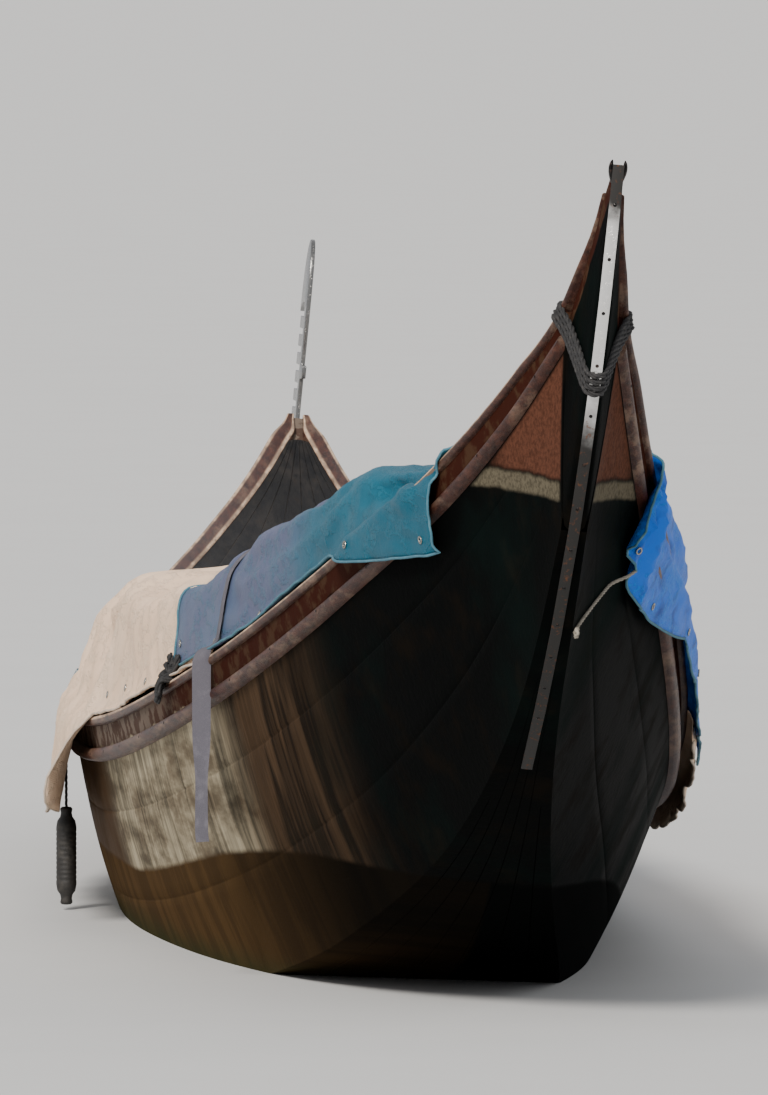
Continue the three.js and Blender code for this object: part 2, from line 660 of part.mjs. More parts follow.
// A band of webbing that lies over the aft cover and hangs plumb outside the port rail.
function addStrap() {
  const { y, wide, thick, clear, outside, turn, from, to, hang } = STRAP;
  const path = (edgeY) => {
    const lying = offsetLine(coverOuterAt(COVERS.cover_aft.rows, edgeY), clear).slice(from, to);
    const s = station(edgeY);
    const x = -(s.beam[PORT] + RAIL.outside + outside);
    const z = s.top.z + RAIL.high - RAIL.bevel;
    const hanging = [1, 0.5, 0].map((share) => [x + share * hang * Math.tan(HEEL), z - share * hang]);
    return [...hanging, [x + turn, z + RAIL.bevel + COVER_THICK + turn], ...lying];
  };
  const edges = [y - wide / 2, y + wide / 2].map((edgeY) => {
    const near = path(edgeY);
    return { edgeY, near, far: offsetLine(near, thick) };
  });
  const [aft, fore] = edges;
  const rings = aft.near.map((_, i) => [
    at(aft.near[i][0], aft.edgeY, aft.near[i][1]), at(fore.near[i][0], fore.edgeY, fore.near[i][1]),
    at(fore.far[i][0], fore.edgeY, fore.far[i][1]), at(aft.far[i][0], aft.edgeY, aft.far[i][1]),
  ]);
  add("strap_port", loft(rings), FINISH.strap);
}

// A slim fender that hangs plumb from the port rail on its own line, below the hem of the cover.
function addFender() {
  const { y, radius, long, line, sides, cordRadius, above, knot } = FENDER;
  const s = station(y);
  const rod = bare(new THREE.CylinderGeometry(radius, radius, long, sides));
  const cord = bare(new THREE.CylinderGeometry(cordRadius, cordRadius, line + knot, 8));
  rod.translate(0, -line - long / 2, 0);
  cord.translate(0, -line / 2, 0);
  const whole = joined([rod, cord]);
  whole.rotateX(Math.PI / 2).rotateY(-HEEL);
  const lean = Math.tan(HEEL) * above;
  const x = -(s.beam[PORT] + RAIL.outside + cordRadius + GAP + lean);
  add("fender_port", whole.translate(x, y, s.top.z + above), FINISH.rubber);
}

const hullParts = [addHull, addStrips, addDecks, addRibs, addInside, addSeats, addStern, addBowIron];
const fittings = [addStandingPlatform, addForcolaBlock, addCovers, addStrap, addFender];
for (const make of [...hullParts, ...fittings]) make();

export default boat;
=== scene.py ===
"""A rowing gondola laid up afloat under its covers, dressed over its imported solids.

Lengths are metres. The row frame has z = 0 at the still water and +Y at the bow. Lying empty the boat leans to
starboard, so places on it are worked out upright, with x = 0 on the plane through both ends, and then turned by
HEEL about +Y with afloat().
"""

import logging
import math
from collections.abc import Sequence
from dataclasses import dataclass, field
from enum import Enum

import bmesh
import bpy
import numpy as np
from bpy.types import Material, Mesh, Node, NodeSocket, NodeTree, Object
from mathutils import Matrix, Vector, noise
from mathutils.bvhtree import BVHTree


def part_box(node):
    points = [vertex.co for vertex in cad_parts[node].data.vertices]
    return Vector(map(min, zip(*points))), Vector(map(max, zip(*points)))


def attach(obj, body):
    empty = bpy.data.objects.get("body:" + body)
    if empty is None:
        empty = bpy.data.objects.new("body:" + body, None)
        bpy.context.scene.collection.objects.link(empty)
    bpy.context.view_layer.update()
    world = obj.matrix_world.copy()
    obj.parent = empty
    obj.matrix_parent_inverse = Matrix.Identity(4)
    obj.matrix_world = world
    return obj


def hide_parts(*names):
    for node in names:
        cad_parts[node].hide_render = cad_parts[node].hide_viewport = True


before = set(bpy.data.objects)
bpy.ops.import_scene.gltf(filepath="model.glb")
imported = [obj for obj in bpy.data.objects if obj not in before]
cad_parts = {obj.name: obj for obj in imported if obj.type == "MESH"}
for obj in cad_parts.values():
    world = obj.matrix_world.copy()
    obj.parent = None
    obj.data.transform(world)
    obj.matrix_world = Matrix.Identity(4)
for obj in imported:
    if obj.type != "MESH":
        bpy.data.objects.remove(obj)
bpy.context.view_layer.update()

log = logging.getLogger("gondola")
HEEL = math.radians(5.5)
LEAN = np.array([[math.cos(HEEL), 0.0, math.sin(HEEL)], [0.0, 1.0, 0.0], [-math.sin(HEEL), 0.0, math.cos(HEEL)]])
UPWARD = (math.sin(HEEL), 0.0, math.cos(HEEL))  # the boat's own up, in the row frame
LENGTHS = ("aft", "mid", "fore")
SCARFS = (-2.43, 2.56)  # where the lengths of the sides and rails meet
STERN_END, BOW_END = -5.15, 4.9  # ends of the planking
PLANK = 0.024


class Side(Enum):
    """One side of the boat, valued by the way it lies along +X."""

    PORT = -1
    STARBOARD = 1

    @property
    def label(self) -> str:
        """The side's name as the solids spell it."""
        return self.name.lower()


# ---------------------------------------------------------------- places and curves


def afloat(points: np.ndarray) -> np.ndarray:
    """Upright places or directions turned into the row frame."""
    return np.asarray(points, float) @ LEAN.T


def upright(points: np.ndarray) -> np.ndarray:
    """Places or directions in the row frame turned upright."""
    return np.asarray(points, float) @ LEAN


def smooth(knots: Sequence[float], values: np.ndarray, where: Sequence[float]) -> np.ndarray:
    """Values on a smooth line through known ones.

    Args:
        knots: where the values are known, rising.
        values: one row of values for each knot.
        where: the places asked for.

    Returns:
        One row of values for each place.
    """
    knots, values, where = np.asarray(knots, float), np.asarray(values, float), np.asarray(where, float)
    slopes = np.gradient(values, knots, axis=0)
    k = np.clip(np.searchsorted(knots, where, side="right") - 1, 0, len(knots) - 2)
    shape = (-1,) + (1,) * (values.ndim - 1)
    step = (knots[k + 1] - knots[k]).reshape(shape)
    t = ((where - knots[k]) / (knots[k + 1] - knots[k])).reshape(shape)
    near = (2 * t**3 - 3 * t**2 + 1) * values[k] + (t**3 - 2 * t**2 + t) * step * slopes[k]
    return near + (3 * t**2 - 2 * t**3) * values[k + 1] + (t**3 - t**2) * step * slopes[k + 1]


def ease(value: np.ndarray, low: float, high: float) -> np.ndarray:
    """0 below low, 1 above high and a soft step between; high may lie under low for a falling step."""
    t = np.clip((np.asarray(value, float) - low) / (high - low), 0.0, 1.0)
    return t * t * (3 - 2 * t)


def rough(points: np.ndarray, size: float, seed: float = 0.0) -> np.ndarray:
    """Soft noise from -1 to 1 at each point, with bumps about size across."""
    flat = np.asarray(points, float).reshape(-1, 3) / size
    return np.array([noise.noise(Vector((x + seed, y - seed, z + 2 * seed))) for x, y, z in flat]).reshape(
        np.asarray(points).shape[:-1]
    )


def unit(ways: np.ndarray) -> np.ndarray:
    """Directions brought to length 1."""
    return ways / np.linalg.norm(ways, axis=-1, keepdims=True)


def eased(line: np.ndarray, rounds: int) -> np.ndarray:
    """A line whose inner points have moved towards their neighbours a number of times."""
    line = line.copy()
    for _ in range(rounds):
        line[1:-1] = line[1:-1] * 0.5 + (line[:-2] + line[2:]) * 0.25
    return line


def run_along(line: np.ndarray) -> np.ndarray:
    """How far along a line each of its points lies."""
    return np.concatenate([[0.0], np.cumsum(np.linalg.norm(np.diff(line, axis=0), axis=1))])


def spaced(line: np.ndarray, count: int) -> np.ndarray:
    """A line of points laid out again with count points at even distances."""
    run = run_along(line)
    places = np.linspace(0.0, run[-1], count)
    return np.stack([np.interp(places, run, line[:, i]) for i in range(3)], axis=-1)


def solid_points(*nodes: str) -> np.ndarray:
    """Corners of CAD nodes, upright."""
    return upright(np.array([v.co[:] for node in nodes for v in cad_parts[node].data.vertices]))


def rings_of(*nodes: str) -> dict[float, np.ndarray]:
    """The [x, z] corners of CAD nodes at each place along the boat, without the rings at the scarfs."""
    points = np.unique(np.round(solid_points(*nodes), 4), axis=0)
    places = [y for y in np.unique(points[:, 1]) if min(abs(y - scarf) for scarf in SCARFS) > 0.002]
    return {float(y): points[points[:, 1] == y][:, [0, 2]] for y in places}


def spans(rings: Sequence[np.ndarray]) -> np.ndarray:
    """The inner and outer half width, underside and top of each ring of corners."""
    return np.array([[abs(r[:, 0]).min(), abs(r[:, 0]).max(), r[:, 1].min(), r[:, 1].max()] for r in rings])


def surface_of(*names: str) -> BVHTree:
    """A search tree over the faces of CAD nodes or of finished pieces, in the row frame."""
    points: list[Vector] = []
    faces: list[list[int]] = []
    for name in names:
        mesh = (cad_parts[name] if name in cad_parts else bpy.data.objects[name]).data
        first = len(points)
        points += [v.co.copy() for v in mesh.vertices]
        faces += [[first + i for i in polygon.vertices] for polygon in mesh.polygons]
    return BVHTree.FromPolygons(points, faces)


def circle(count: int) -> np.ndarray:
    """Angles that go once round at even steps."""
    return np.linspace(0, 2 * math.pi, count, endpoint=False)


def met(tree: BVHTree, start: Sequence[float], way: Sequence[float], far: float = 10.0) -> np.ndarray | None:
    """Where a ray first meets a surface.

    Args:
        tree: the surface.
        start: the upright place that the ray starts from.
        way: its upright direction.
        far: how far it goes.

    Returns:
        The upright point, or None for a miss.
    """
    hit, *_ = tree.ray_cast(Vector(afloat(start)), Vector(afloat(way)), far)
    return upright(np.array(hit)) if hit else None


@dataclass(frozen=True)
class HullForm:
    """The hull's lines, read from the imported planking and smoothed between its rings."""

    places: np.ndarray
    foot: np.ndarray
    top: np.ndarray
    half: dict[Side, np.ndarray]
    shares: np.ndarray
    rails: dict[Side, tuple[np.ndarray, np.ndarray]]

    @classmethod
    def read(cls) -> "HullForm":
        """Takes the lines from the bottom, side and rail nodes."""
        bottom = rings_of("bottom_planks")
        sides = {side: rings_of(*(f"side_{side.label}_{part}" for part in LENGTHS)) for side in Side}
        near = [[min(abs(y - known) for known in rings) for rings in sides.values()] for y in sorted(bottom)]
        places = np.array([y for y, gaps in zip(sorted(bottom), near) if max(gaps) < 0.0015])
        foot = np.array([bottom[y][:, 1].min() for y in places])
        shares = np.linspace(0.0, 1.0, 13)
        half: dict[Side, np.ndarray] = {}
        top = np.zeros(len(places))
        rails = {}
        for side in Side:
            rings = sides[side]
            rows = []
            for i, y in enumerate(places):
                ring = rings[min(rings, key=lambda known: abs(known - y))]
                heights = ring[np.argsort(ring[:, 1])][:, 1]
                levels = heights[np.concatenate([[True], np.diff(heights) > 0.001])][1:]
                outer = [np.abs(ring[abs(ring[:, 1] - level) < 0.001][:, 0]).max() for level in levels]
                chine = (bottom[y][:, 0] * side.value).max()
                top[i] = levels[-1]
                known = [0.0, *((levels - foot[i]) / (top[i] - foot[i]))]
                rows.append(smooth(known, [chine, *outer], shares))
            half[side] = np.array(rows)
            rail = rings_of(*(f"rail_{side.label}_{part}" for part in LENGTHS))
            rails[side] = (np.array(list(rail)), spans(list(rail.values())))
        return cls(places, foot, top, half, shares, rails)

    def skin(self, side: Side, ys: Sequence[float], shares: Sequence[float]) -> np.ndarray:
        """Points of the outer skin, upright.

        Args:
            side: which side of the boat.
            ys: places along the boat.
            shares: heights as shares of the side, 0 at the chine and 1 at the sheer.

        Returns:
            An array of rows along the boat, columns up the side and three coordinates.
        """
        ys, shares = np.asarray(ys, float), np.asarray(shares, float)
        across = smooth(self.shares, smooth(self.places, self.half[side], ys).T, shares).T
        foot, top = (smooth(self.places, line, ys)[:, None] for line in (self.foot, self.top))
        up = foot + shares[None, :] * (top - foot)
        along = np.repeat(ys[:, None], len(shares), axis=1)
        return np.stack([side.value * across, along, up], axis=-1)

    def sheer(self, ys: Sequence[float]) -> np.ndarray:
        """Heights of the planks' upper edge."""
        return smooth(self.places, self.top, ys)

    def rail(self, side: Side, ys: Sequence[float]) -> np.ndarray:
        """Inner and outer half widths, underside and top of a rail at each place."""
        known, table = self.rails[side]
        return smooth(known, table, ys)


# ---------------------------------------------------------------- meshes


def in_scene(name: str, data: bpy.types.ID) -> Object:
    """A new object at the origin, linked to the scene."""
    made = bpy.data.objects.new(name, data)
    bpy.context.scene.collection.objects.link(made)
    return made


def shaded(mesh: Mesh, sharp: float) -> Object:
    """A mesh's object, smooth but for edges that turn by more than sharp degrees."""
    mesh.polygons.foreach_set("use_smooth", [True] * len(mesh.polygons))
    mesh.set_sharp_from_angle(angle=math.radians(sharp))
    return in_scene(mesh.name, mesh)


def mesh_piece(name: str, points: np.ndarray, faces: Sequence[Sequence[int]], sharp: float = 40.0) -> Object:
    """A mesh object at the origin, smooth but for edges sharper than an angle.

    Args:
        name: the piece's name.
        points: its corners in the row frame.
        faces: corner numbers of each face.
        sharp: edges that turn by more degrees than this stay sharp.

    Returns:
        The new object, linked to the scene.
    """
    mesh = bpy.data.meshes.new(name)
    mesh.from_pydata([tuple(p) for p in np.asarray(points, float).reshape(-1, 3)], [], [list(f) for f in faces])
    return shaded(mesh, sharp)


def turn_outwards(piece: Object, merge: bool = False) -> None:
    """Turns every face of a closed piece outwards, after its doubles are merged where asked."""
    work = bmesh.new()
    work.from_mesh(piece.data)
    if merge:
        bmesh.ops.remove_doubles(work, verts=work.verts, dist=1e-5)
    bmesh.ops.recalc_face_normals(work, faces=work.faces)
    work.to_mesh(piece.data)
    work.free()


def ring_faces(count: int, around: int, closed: bool = False, first: int = 0) -> list[tuple[int, ...]]:
    """The faces of a body through rings of points.

    Args:
        count: how many rings it has.
        around: points in each ring.
        closed: True where the last ring joins the first and there are no end caps.
        first: number of the first point.

    Returns:
        Point numbers of each face.
    """
    faces: list[tuple[int, ...]] = []
    for r in range(count if closed else count - 1):
        here, there = first + r * around, first + (r + 1) % count * around
        faces += [(here + i, here + (i + 1) % around, there + (i + 1) % around, there + i) for i in range(around)]
    if not closed:
        last = first + (count - 1) * around
        faces += [tuple(range(first, first + around))[::-1], tuple(range(last, last + around))]
    return faces


def mark(piece: Object, **marks: np.ndarray) -> None:
    """Stores numbers on a piece's points for its material to read."""
    for name, values in marks.items():
        layer = piece.data.attributes.new(name, "FLOAT", "POINT")
        layer.data.foreach_set("value", np.asarray(values, np.float32).ravel())


def lay_flat(piece: Object, flat: np.ndarray) -> None:
    """Stores the map of a piece's cloth, in metres, from a flat place for each of its points."""
    corners = np.zeros(len(piece.data.loops), int)
    piece.data.loops.foreach_get("vertex_index", corners)
    places = flat.reshape(-1, 2)[corners].astype(np.float32)
    piece.data.uv_layers.new(name="flat").data.foreach_set("uv", places.ravel())


def tube(name: str, rings: np.ndarray, sharp: float = 40.0, closed: bool = False, **marks: np.ndarray) -> Object:
    """One closed body through rings with the same number of points.

    Args:
        name: the piece's name.
        rings: upright points, one row for each ring.
        sharp: edges that turn by more degrees than this stay sharp.
        closed: True where the last ring joins the first and there are no end caps.
        marks: numbers for each point.

    Returns:
        The new object.
    """
    piece = mesh_piece(name, afloat(rings.reshape(-1, 3)), ring_faces(*rings.shape[:2], closed), sharp)
    mark(piece, **marks)
    turn_outwards(piece)
    return piece


def softened(node: str, name: str, width: float, segments: int = 2) -> Object:
    """A CAD node's own shape with its doubles merged and its edges rounded.

    Args:
        node: the node to copy.
        name: the new piece's name.
        width: how far the rounding reaches.
        segments: faces across the rounding.

    Returns:
        The new object.
    """
    work = bmesh.new()
    work.from_mesh(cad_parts[node].data)
    bmesh.ops.remove_doubles(work, verts=work.verts, dist=1e-5)
    bmesh.ops.dissolve_limit(work, angle_limit=math.radians(1.0), verts=work.verts, edges=work.edges)
    edges = [e for e in work.edges if len(e.link_faces) == 2 and e.calc_face_angle(0.0) > math.radians(30)]
    bmesh.ops.bevel(work, geom=edges, offset=width, segments=segments, profile=0.6, affect="EDGES", clamp_overlap=True)
    bmesh.ops.recalc_face_normals(work, faces=work.faces)
    mesh = bpy.data.meshes.new(name)
    work.to_mesh(mesh)
    work.free()
    return shaded(mesh, 50)


def settle(piece: Object, material: Material, slot: str, *nodes: str) -> Object:
    """Gives a finished piece its material and body, and hides the CAD nodes that it stands for."""
    piece.data.materials.clear()
    piece.data.materials.append(material)
    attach(piece, "root")
    if nodes:
        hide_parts(*nodes)
    return piece


# ---------------------------------------------------------------- node trees


class Wiring:
    """Short calls that fill a node tree."""

    def __init__(self, tree: NodeTree) -> None:
        """Starts on a tree.

        Args:
            tree: the shader or geometry tree to fill.
        """
        self.tree = tree

    def node(self, kind: str, inputs: dict | None = None, **settings: object) -> Node:
        """Adds a node.

        Args:
            kind: Blender's name for the node.
            inputs: values or sockets for its inputs, by name or number.
            settings: the node's own properties.

        Returns:
            The node.
        """
        made = self.tree.nodes.new(kind)
        for key, value in settings.items():
            setattr(made, key, value)
        for key, value in (inputs or {}).items():
            if isinstance(value, NodeSocket):
                self.tree.links.new(value, made.inputs[key])
            else:
                made.inputs[key].default_value = value
        return made

    def math(self, operation: str, a: object, b: object = 0.0) -> NodeSocket:
        """A sum, product or the like of two values."""
        return self.node("ShaderNodeMath", {0: a, 1: b}, operation=operation).outputs[0]

    def times(self, a: object, b: object) -> NodeSocket:
        """Two values multiplied."""
        return self.math("MULTIPLY", a, b)

    def plus(self, a: object, b: object) -> NodeSocket:
        """Two values added."""
        return self.math("ADD", a, b)

    def minus(self, a: object, b: object) -> NodeSocket:
        """One value less another."""
        return self.math("SUBTRACT", a, b)

    def stretched(self, vector: NodeSocket, by: tuple[float, float, float]) -> NodeSocket:
        """A vector with each of its parts multiplied by a number of its own."""
        return self.node("ShaderNodeVectorMath", {0: vector, 1: by}, operation="MULTIPLY").outputs[0]

    def level(self, place: NodeSocket) -> NodeSocket:
        """How high a place lies, upright."""
        return self.node("ShaderNodeVectorMath", {0: place, 1: UPWARD}, operation="DOT_PRODUCT").outputs["Value"]

    def parts(self, vector: NodeSocket) -> list[NodeSocket]:
        """A vector's three parts."""
        return list(self.node("ShaderNodeSeparateXYZ", {0: vector}).outputs)

    def joined(self, *parts: object) -> NodeSocket:
        """A vector from its three parts."""
        return self.node("ShaderNodeCombineXYZ", dict(enumerate(parts))).outputs[0]

    def clamped(self, value: object) -> NodeSocket:
        """A value kept from 0 to 1."""
        return self.node("ShaderNodeClamp", {0: value}).outputs[0]

    def mix(self, share: object, a: object, b: object) -> NodeSocket:
        """A colour between two, each a socket or a linear colour."""
        a, b = ((*colour, 1.0) if isinstance(colour, tuple) else colour for colour in (a, b))
        return self.node("ShaderNodeMix", {0: share, 6: a, 7: b}, data_type="RGBA").outputs[2]

    def between(self, share: object, a: object, b: object) -> NodeSocket:
        """A value between two values."""
        return self.node("ShaderNodeMix", {0: share, 2: a, 3: b}, data_type="FLOAT").outputs[0]

    def step(self, value: object, low: float, high: float, start: float = 0.0, end: float = 1.0) -> NodeSocket:
        """A soft step from start to end as the value goes from low to high."""
        ins = {"Value": value, "From Min": low, "From Max": high, "To Min": start, "To Max": end}
        return self.node("ShaderNodeMapRange", ins, interpolation_type="SMOOTHSTEP").outputs[0]

    def noise(self, vector: object, scale: object, detail: float = 4.0, rough: float = 0.55) -> NodeSocket:
        """Noise from 0 to 1."""
        ins = {"Vector": vector, "Scale": scale, "Detail": detail, "Roughness": rough}
        return self.node("ShaderNodeTexNoise", ins).outputs[0]

    def attribute(self, name: str) -> NodeSocket:
        """A number stored on the piece's points."""
        return self.node("ShaderNodeAttribute", attribute_name=name).outputs["Fac"]

    def group(self, tree: NodeTree, inputs: dict) -> Node:
        """Places a node group with its own values."""
        return self.node("ShaderNodeGroup", inputs, node_tree=tree)


def shader_group(name: str, inputs: dict[str, tuple[str, object]], outputs: Sequence[str]) -> tuple[Wiring, Node, Node]:
    """An empty shader group with named sockets.

    Args:
        name: the group's name.
        inputs: socket names with their kind, Float, Vector or Color, and first value.
        outputs: names of its outputs, all values.

    Returns:
        Its wiring, its input node and its output node.
    """
    tree = bpy.data.node_groups.new(name, "ShaderNodeTree")
    for socket, (kind, value) in inputs.items():
        made = tree.interface.new_socket(name=socket, in_out="INPUT", socket_type="NodeSocket" + kind)
        if value is not None:
            made.default_value = value
    for socket in outputs:
        tree.interface.new_socket(name=socket, in_out="OUTPUT", socket_type="NodeSocketFloat")
    return Wiring(tree), tree.nodes.new("NodeGroupInput"), tree.nodes.new("NodeGroupOutput")


class SharedEffects:
    """The shader groups that more than one finish uses, built once."""

    def __init__(self) -> None:
        """Builds the groups."""
        self.patches = self._patches()
        self.runs = self._runs()
        self.grain = self._grain()
        self.weave = self._weave()

    @staticmethod
    def _patches() -> NodeTree:
        """Worn or dirty patches: Size is in metres, Cover the share of the surface that they take."""
        ins = {"Vector": ("Vector", None), "Size": ("Float", 0.2), "Cover": ("Float", 0.4), "Soft": ("Float", 0.06)}
        w, start, end = shader_group("worn patches", ins, ["Mask"])
        scale = w.math("DIVIDE", 1.0, start.outputs["Size"])
        large = w.noise(start.outputs["Vector"], scale, 6.0, 0.62)
        edge = w.minus(0.68, w.times(start.outputs["Cover"], 0.36))
        ratio = w.math("DIVIDE", w.minus(large, edge), start.outputs["Soft"])
        w.tree.links.new(w.clamped(ratio), end.inputs["Mask"])
        return w.tree

    @staticmethod
    def _runs() -> NodeTree:
        """Streaks that run down a side: Wide is their width along the boat in metres, Long their length in widths."""
        ins = {"Vector": ("Vector", None), "Wide": ("Float", 0.03), "Long": ("Float", 9.0), "Cover": ("Float", 0.4)}
        w, start, end = shader_group("runs", ins, ["Mask"])
        x, y, z = w.parts(start.outputs["Vector"])
        wide, tall = start.outputs["Wide"], w.times(start.outputs["Wide"], start.outputs["Long"])
        shares = [w.math("DIVIDE", *pair) for pair in ((x, w.times(wide, 14.0)), (y, wide), (z, tall))]
        cloud = w.noise(w.joined(*shares), 1.0, 3.0, 0.6)
        edge = w.minus(0.66, w.times(start.outputs["Cover"], 0.32))
        w.tree.links.new(w.clamped(w.times(w.minus(cloud, edge), 9.0)), end.inputs["Mask"])
        return w.tree

    @staticmethod
    def _grain() -> NodeTree:
        """Wood grain along Y: Fine is the width of a line in metres."""
        ins = {"Vector": ("Vector", None), "Fine": ("Float", 0.004), "Long": ("Float", 30.0)}
        w, start, end = shader_group("wood grain", ins, ["Lines", "Height"])
        x, y, z = w.parts(start.outputs["Vector"])
        fine, long = start.outputs["Fine"], w.times(start.outputs["Fine"], start.outputs["Long"])
        shares = [w.math("DIVIDE", *pair) for pair in ((x, fine), (y, long), (z, fine))]
        lines = w.noise(w.joined(*shares), 1.0, 5.0, 0.65)
        w.tree.links.new(w.step(lines, 0.36, 0.68), end.inputs["Lines"])
        w.tree.links.new(w.step(lines, 0.3, 0.5), end.inputs["Height"])
        return w.tree

    @staticmethod
    def _weave() -> NodeTree:
        """Plain weave on a flat map in metres: Thread is the width of a thread."""
        ins = {"Flat": ("Vector", None), "Thread": ("Float", 0.0016)}
        w, start, end = shader_group("weave", ins, ["Height"])
        x, y, _ = w.parts(start.outputs["Flat"])
        turns = (w.math("DIVIDE", w.times(part, math.pi), start.outputs["Thread"]) for part in (x, y))
        over = w.times(*(w.math("SINE", turn) for turn in turns))
        w.tree.links.new(w.plus(w.times(over, 0.5), 0.5), end.inputs["Height"])
        return w.tree


Colour = tuple[float, float, float]


@dataclass(frozen=True)
class Finish:
    """What every finish has: a name, the shared effects, and a shader to end in."""

    effects: SharedEffects
    name: str

    def build(self) -> Material:
        """The material."""
        material = bpy.data.materials.new(self.name)
        material.use_nodes = True
        material.node_tree.nodes.clear()
        w = Wiring(material.node_tree)
        self.paint(w, w.node("ShaderNodeTexCoord").outputs["Object"])
        return material

    def paint(self, w: Wiring, place: NodeSocket) -> None:
        """Fills the material's tree.

        Args:
            w: the tree's wiring.
            place: the Object coordinates.
        """
        raise NotImplementedError

    def patches(self, w: Wiring, place: NodeSocket, size: float, cover: float, soft: float) -> NodeSocket:
        """A mask of patches, with their size, the share that they cover and the softness of their edges."""
        ins = {"Vector": place, "Size": size, "Cover": cover, "Soft": soft}
        return w.group(self.effects.patches, ins).outputs[0]

    def weave(self, w: Wiring, thread: float) -> NodeSocket:
        """Heights of a weave on the piece's flat map, with threads of one width."""
        flat = w.node("ShaderNodeUVMap", uv_map="flat").outputs[0]
        return w.group(self.effects.weave, {"Flat": flat, "Thread": thread}).outputs[0]

    @staticmethod
    def end(w: Wiring, height: object, depth: float, colour: object, roughness: object, others: dict) -> None:
        """Ends the tree in a surface.

        Args:
            w: the tree's wiring.
            height: bump heights from 0 to 1.
            depth: how deep a full height is, in metres.
            colour: the surface's colour.
            roughness: how rough it is.
            others: its other inputs, by name.
        """
        bump = w.node("ShaderNodeBump", {"Strength": 1.0, "Distance": depth, "Height": height}).outputs[0]
        inputs = {"Base Color": colour, "Roughness": roughness, "Normal": bump, **others}
        w.node("ShaderNodeOutputMaterial", {"Surface": w.node("ShaderNodeBsdfPrincipled", inputs).outputs[0]})


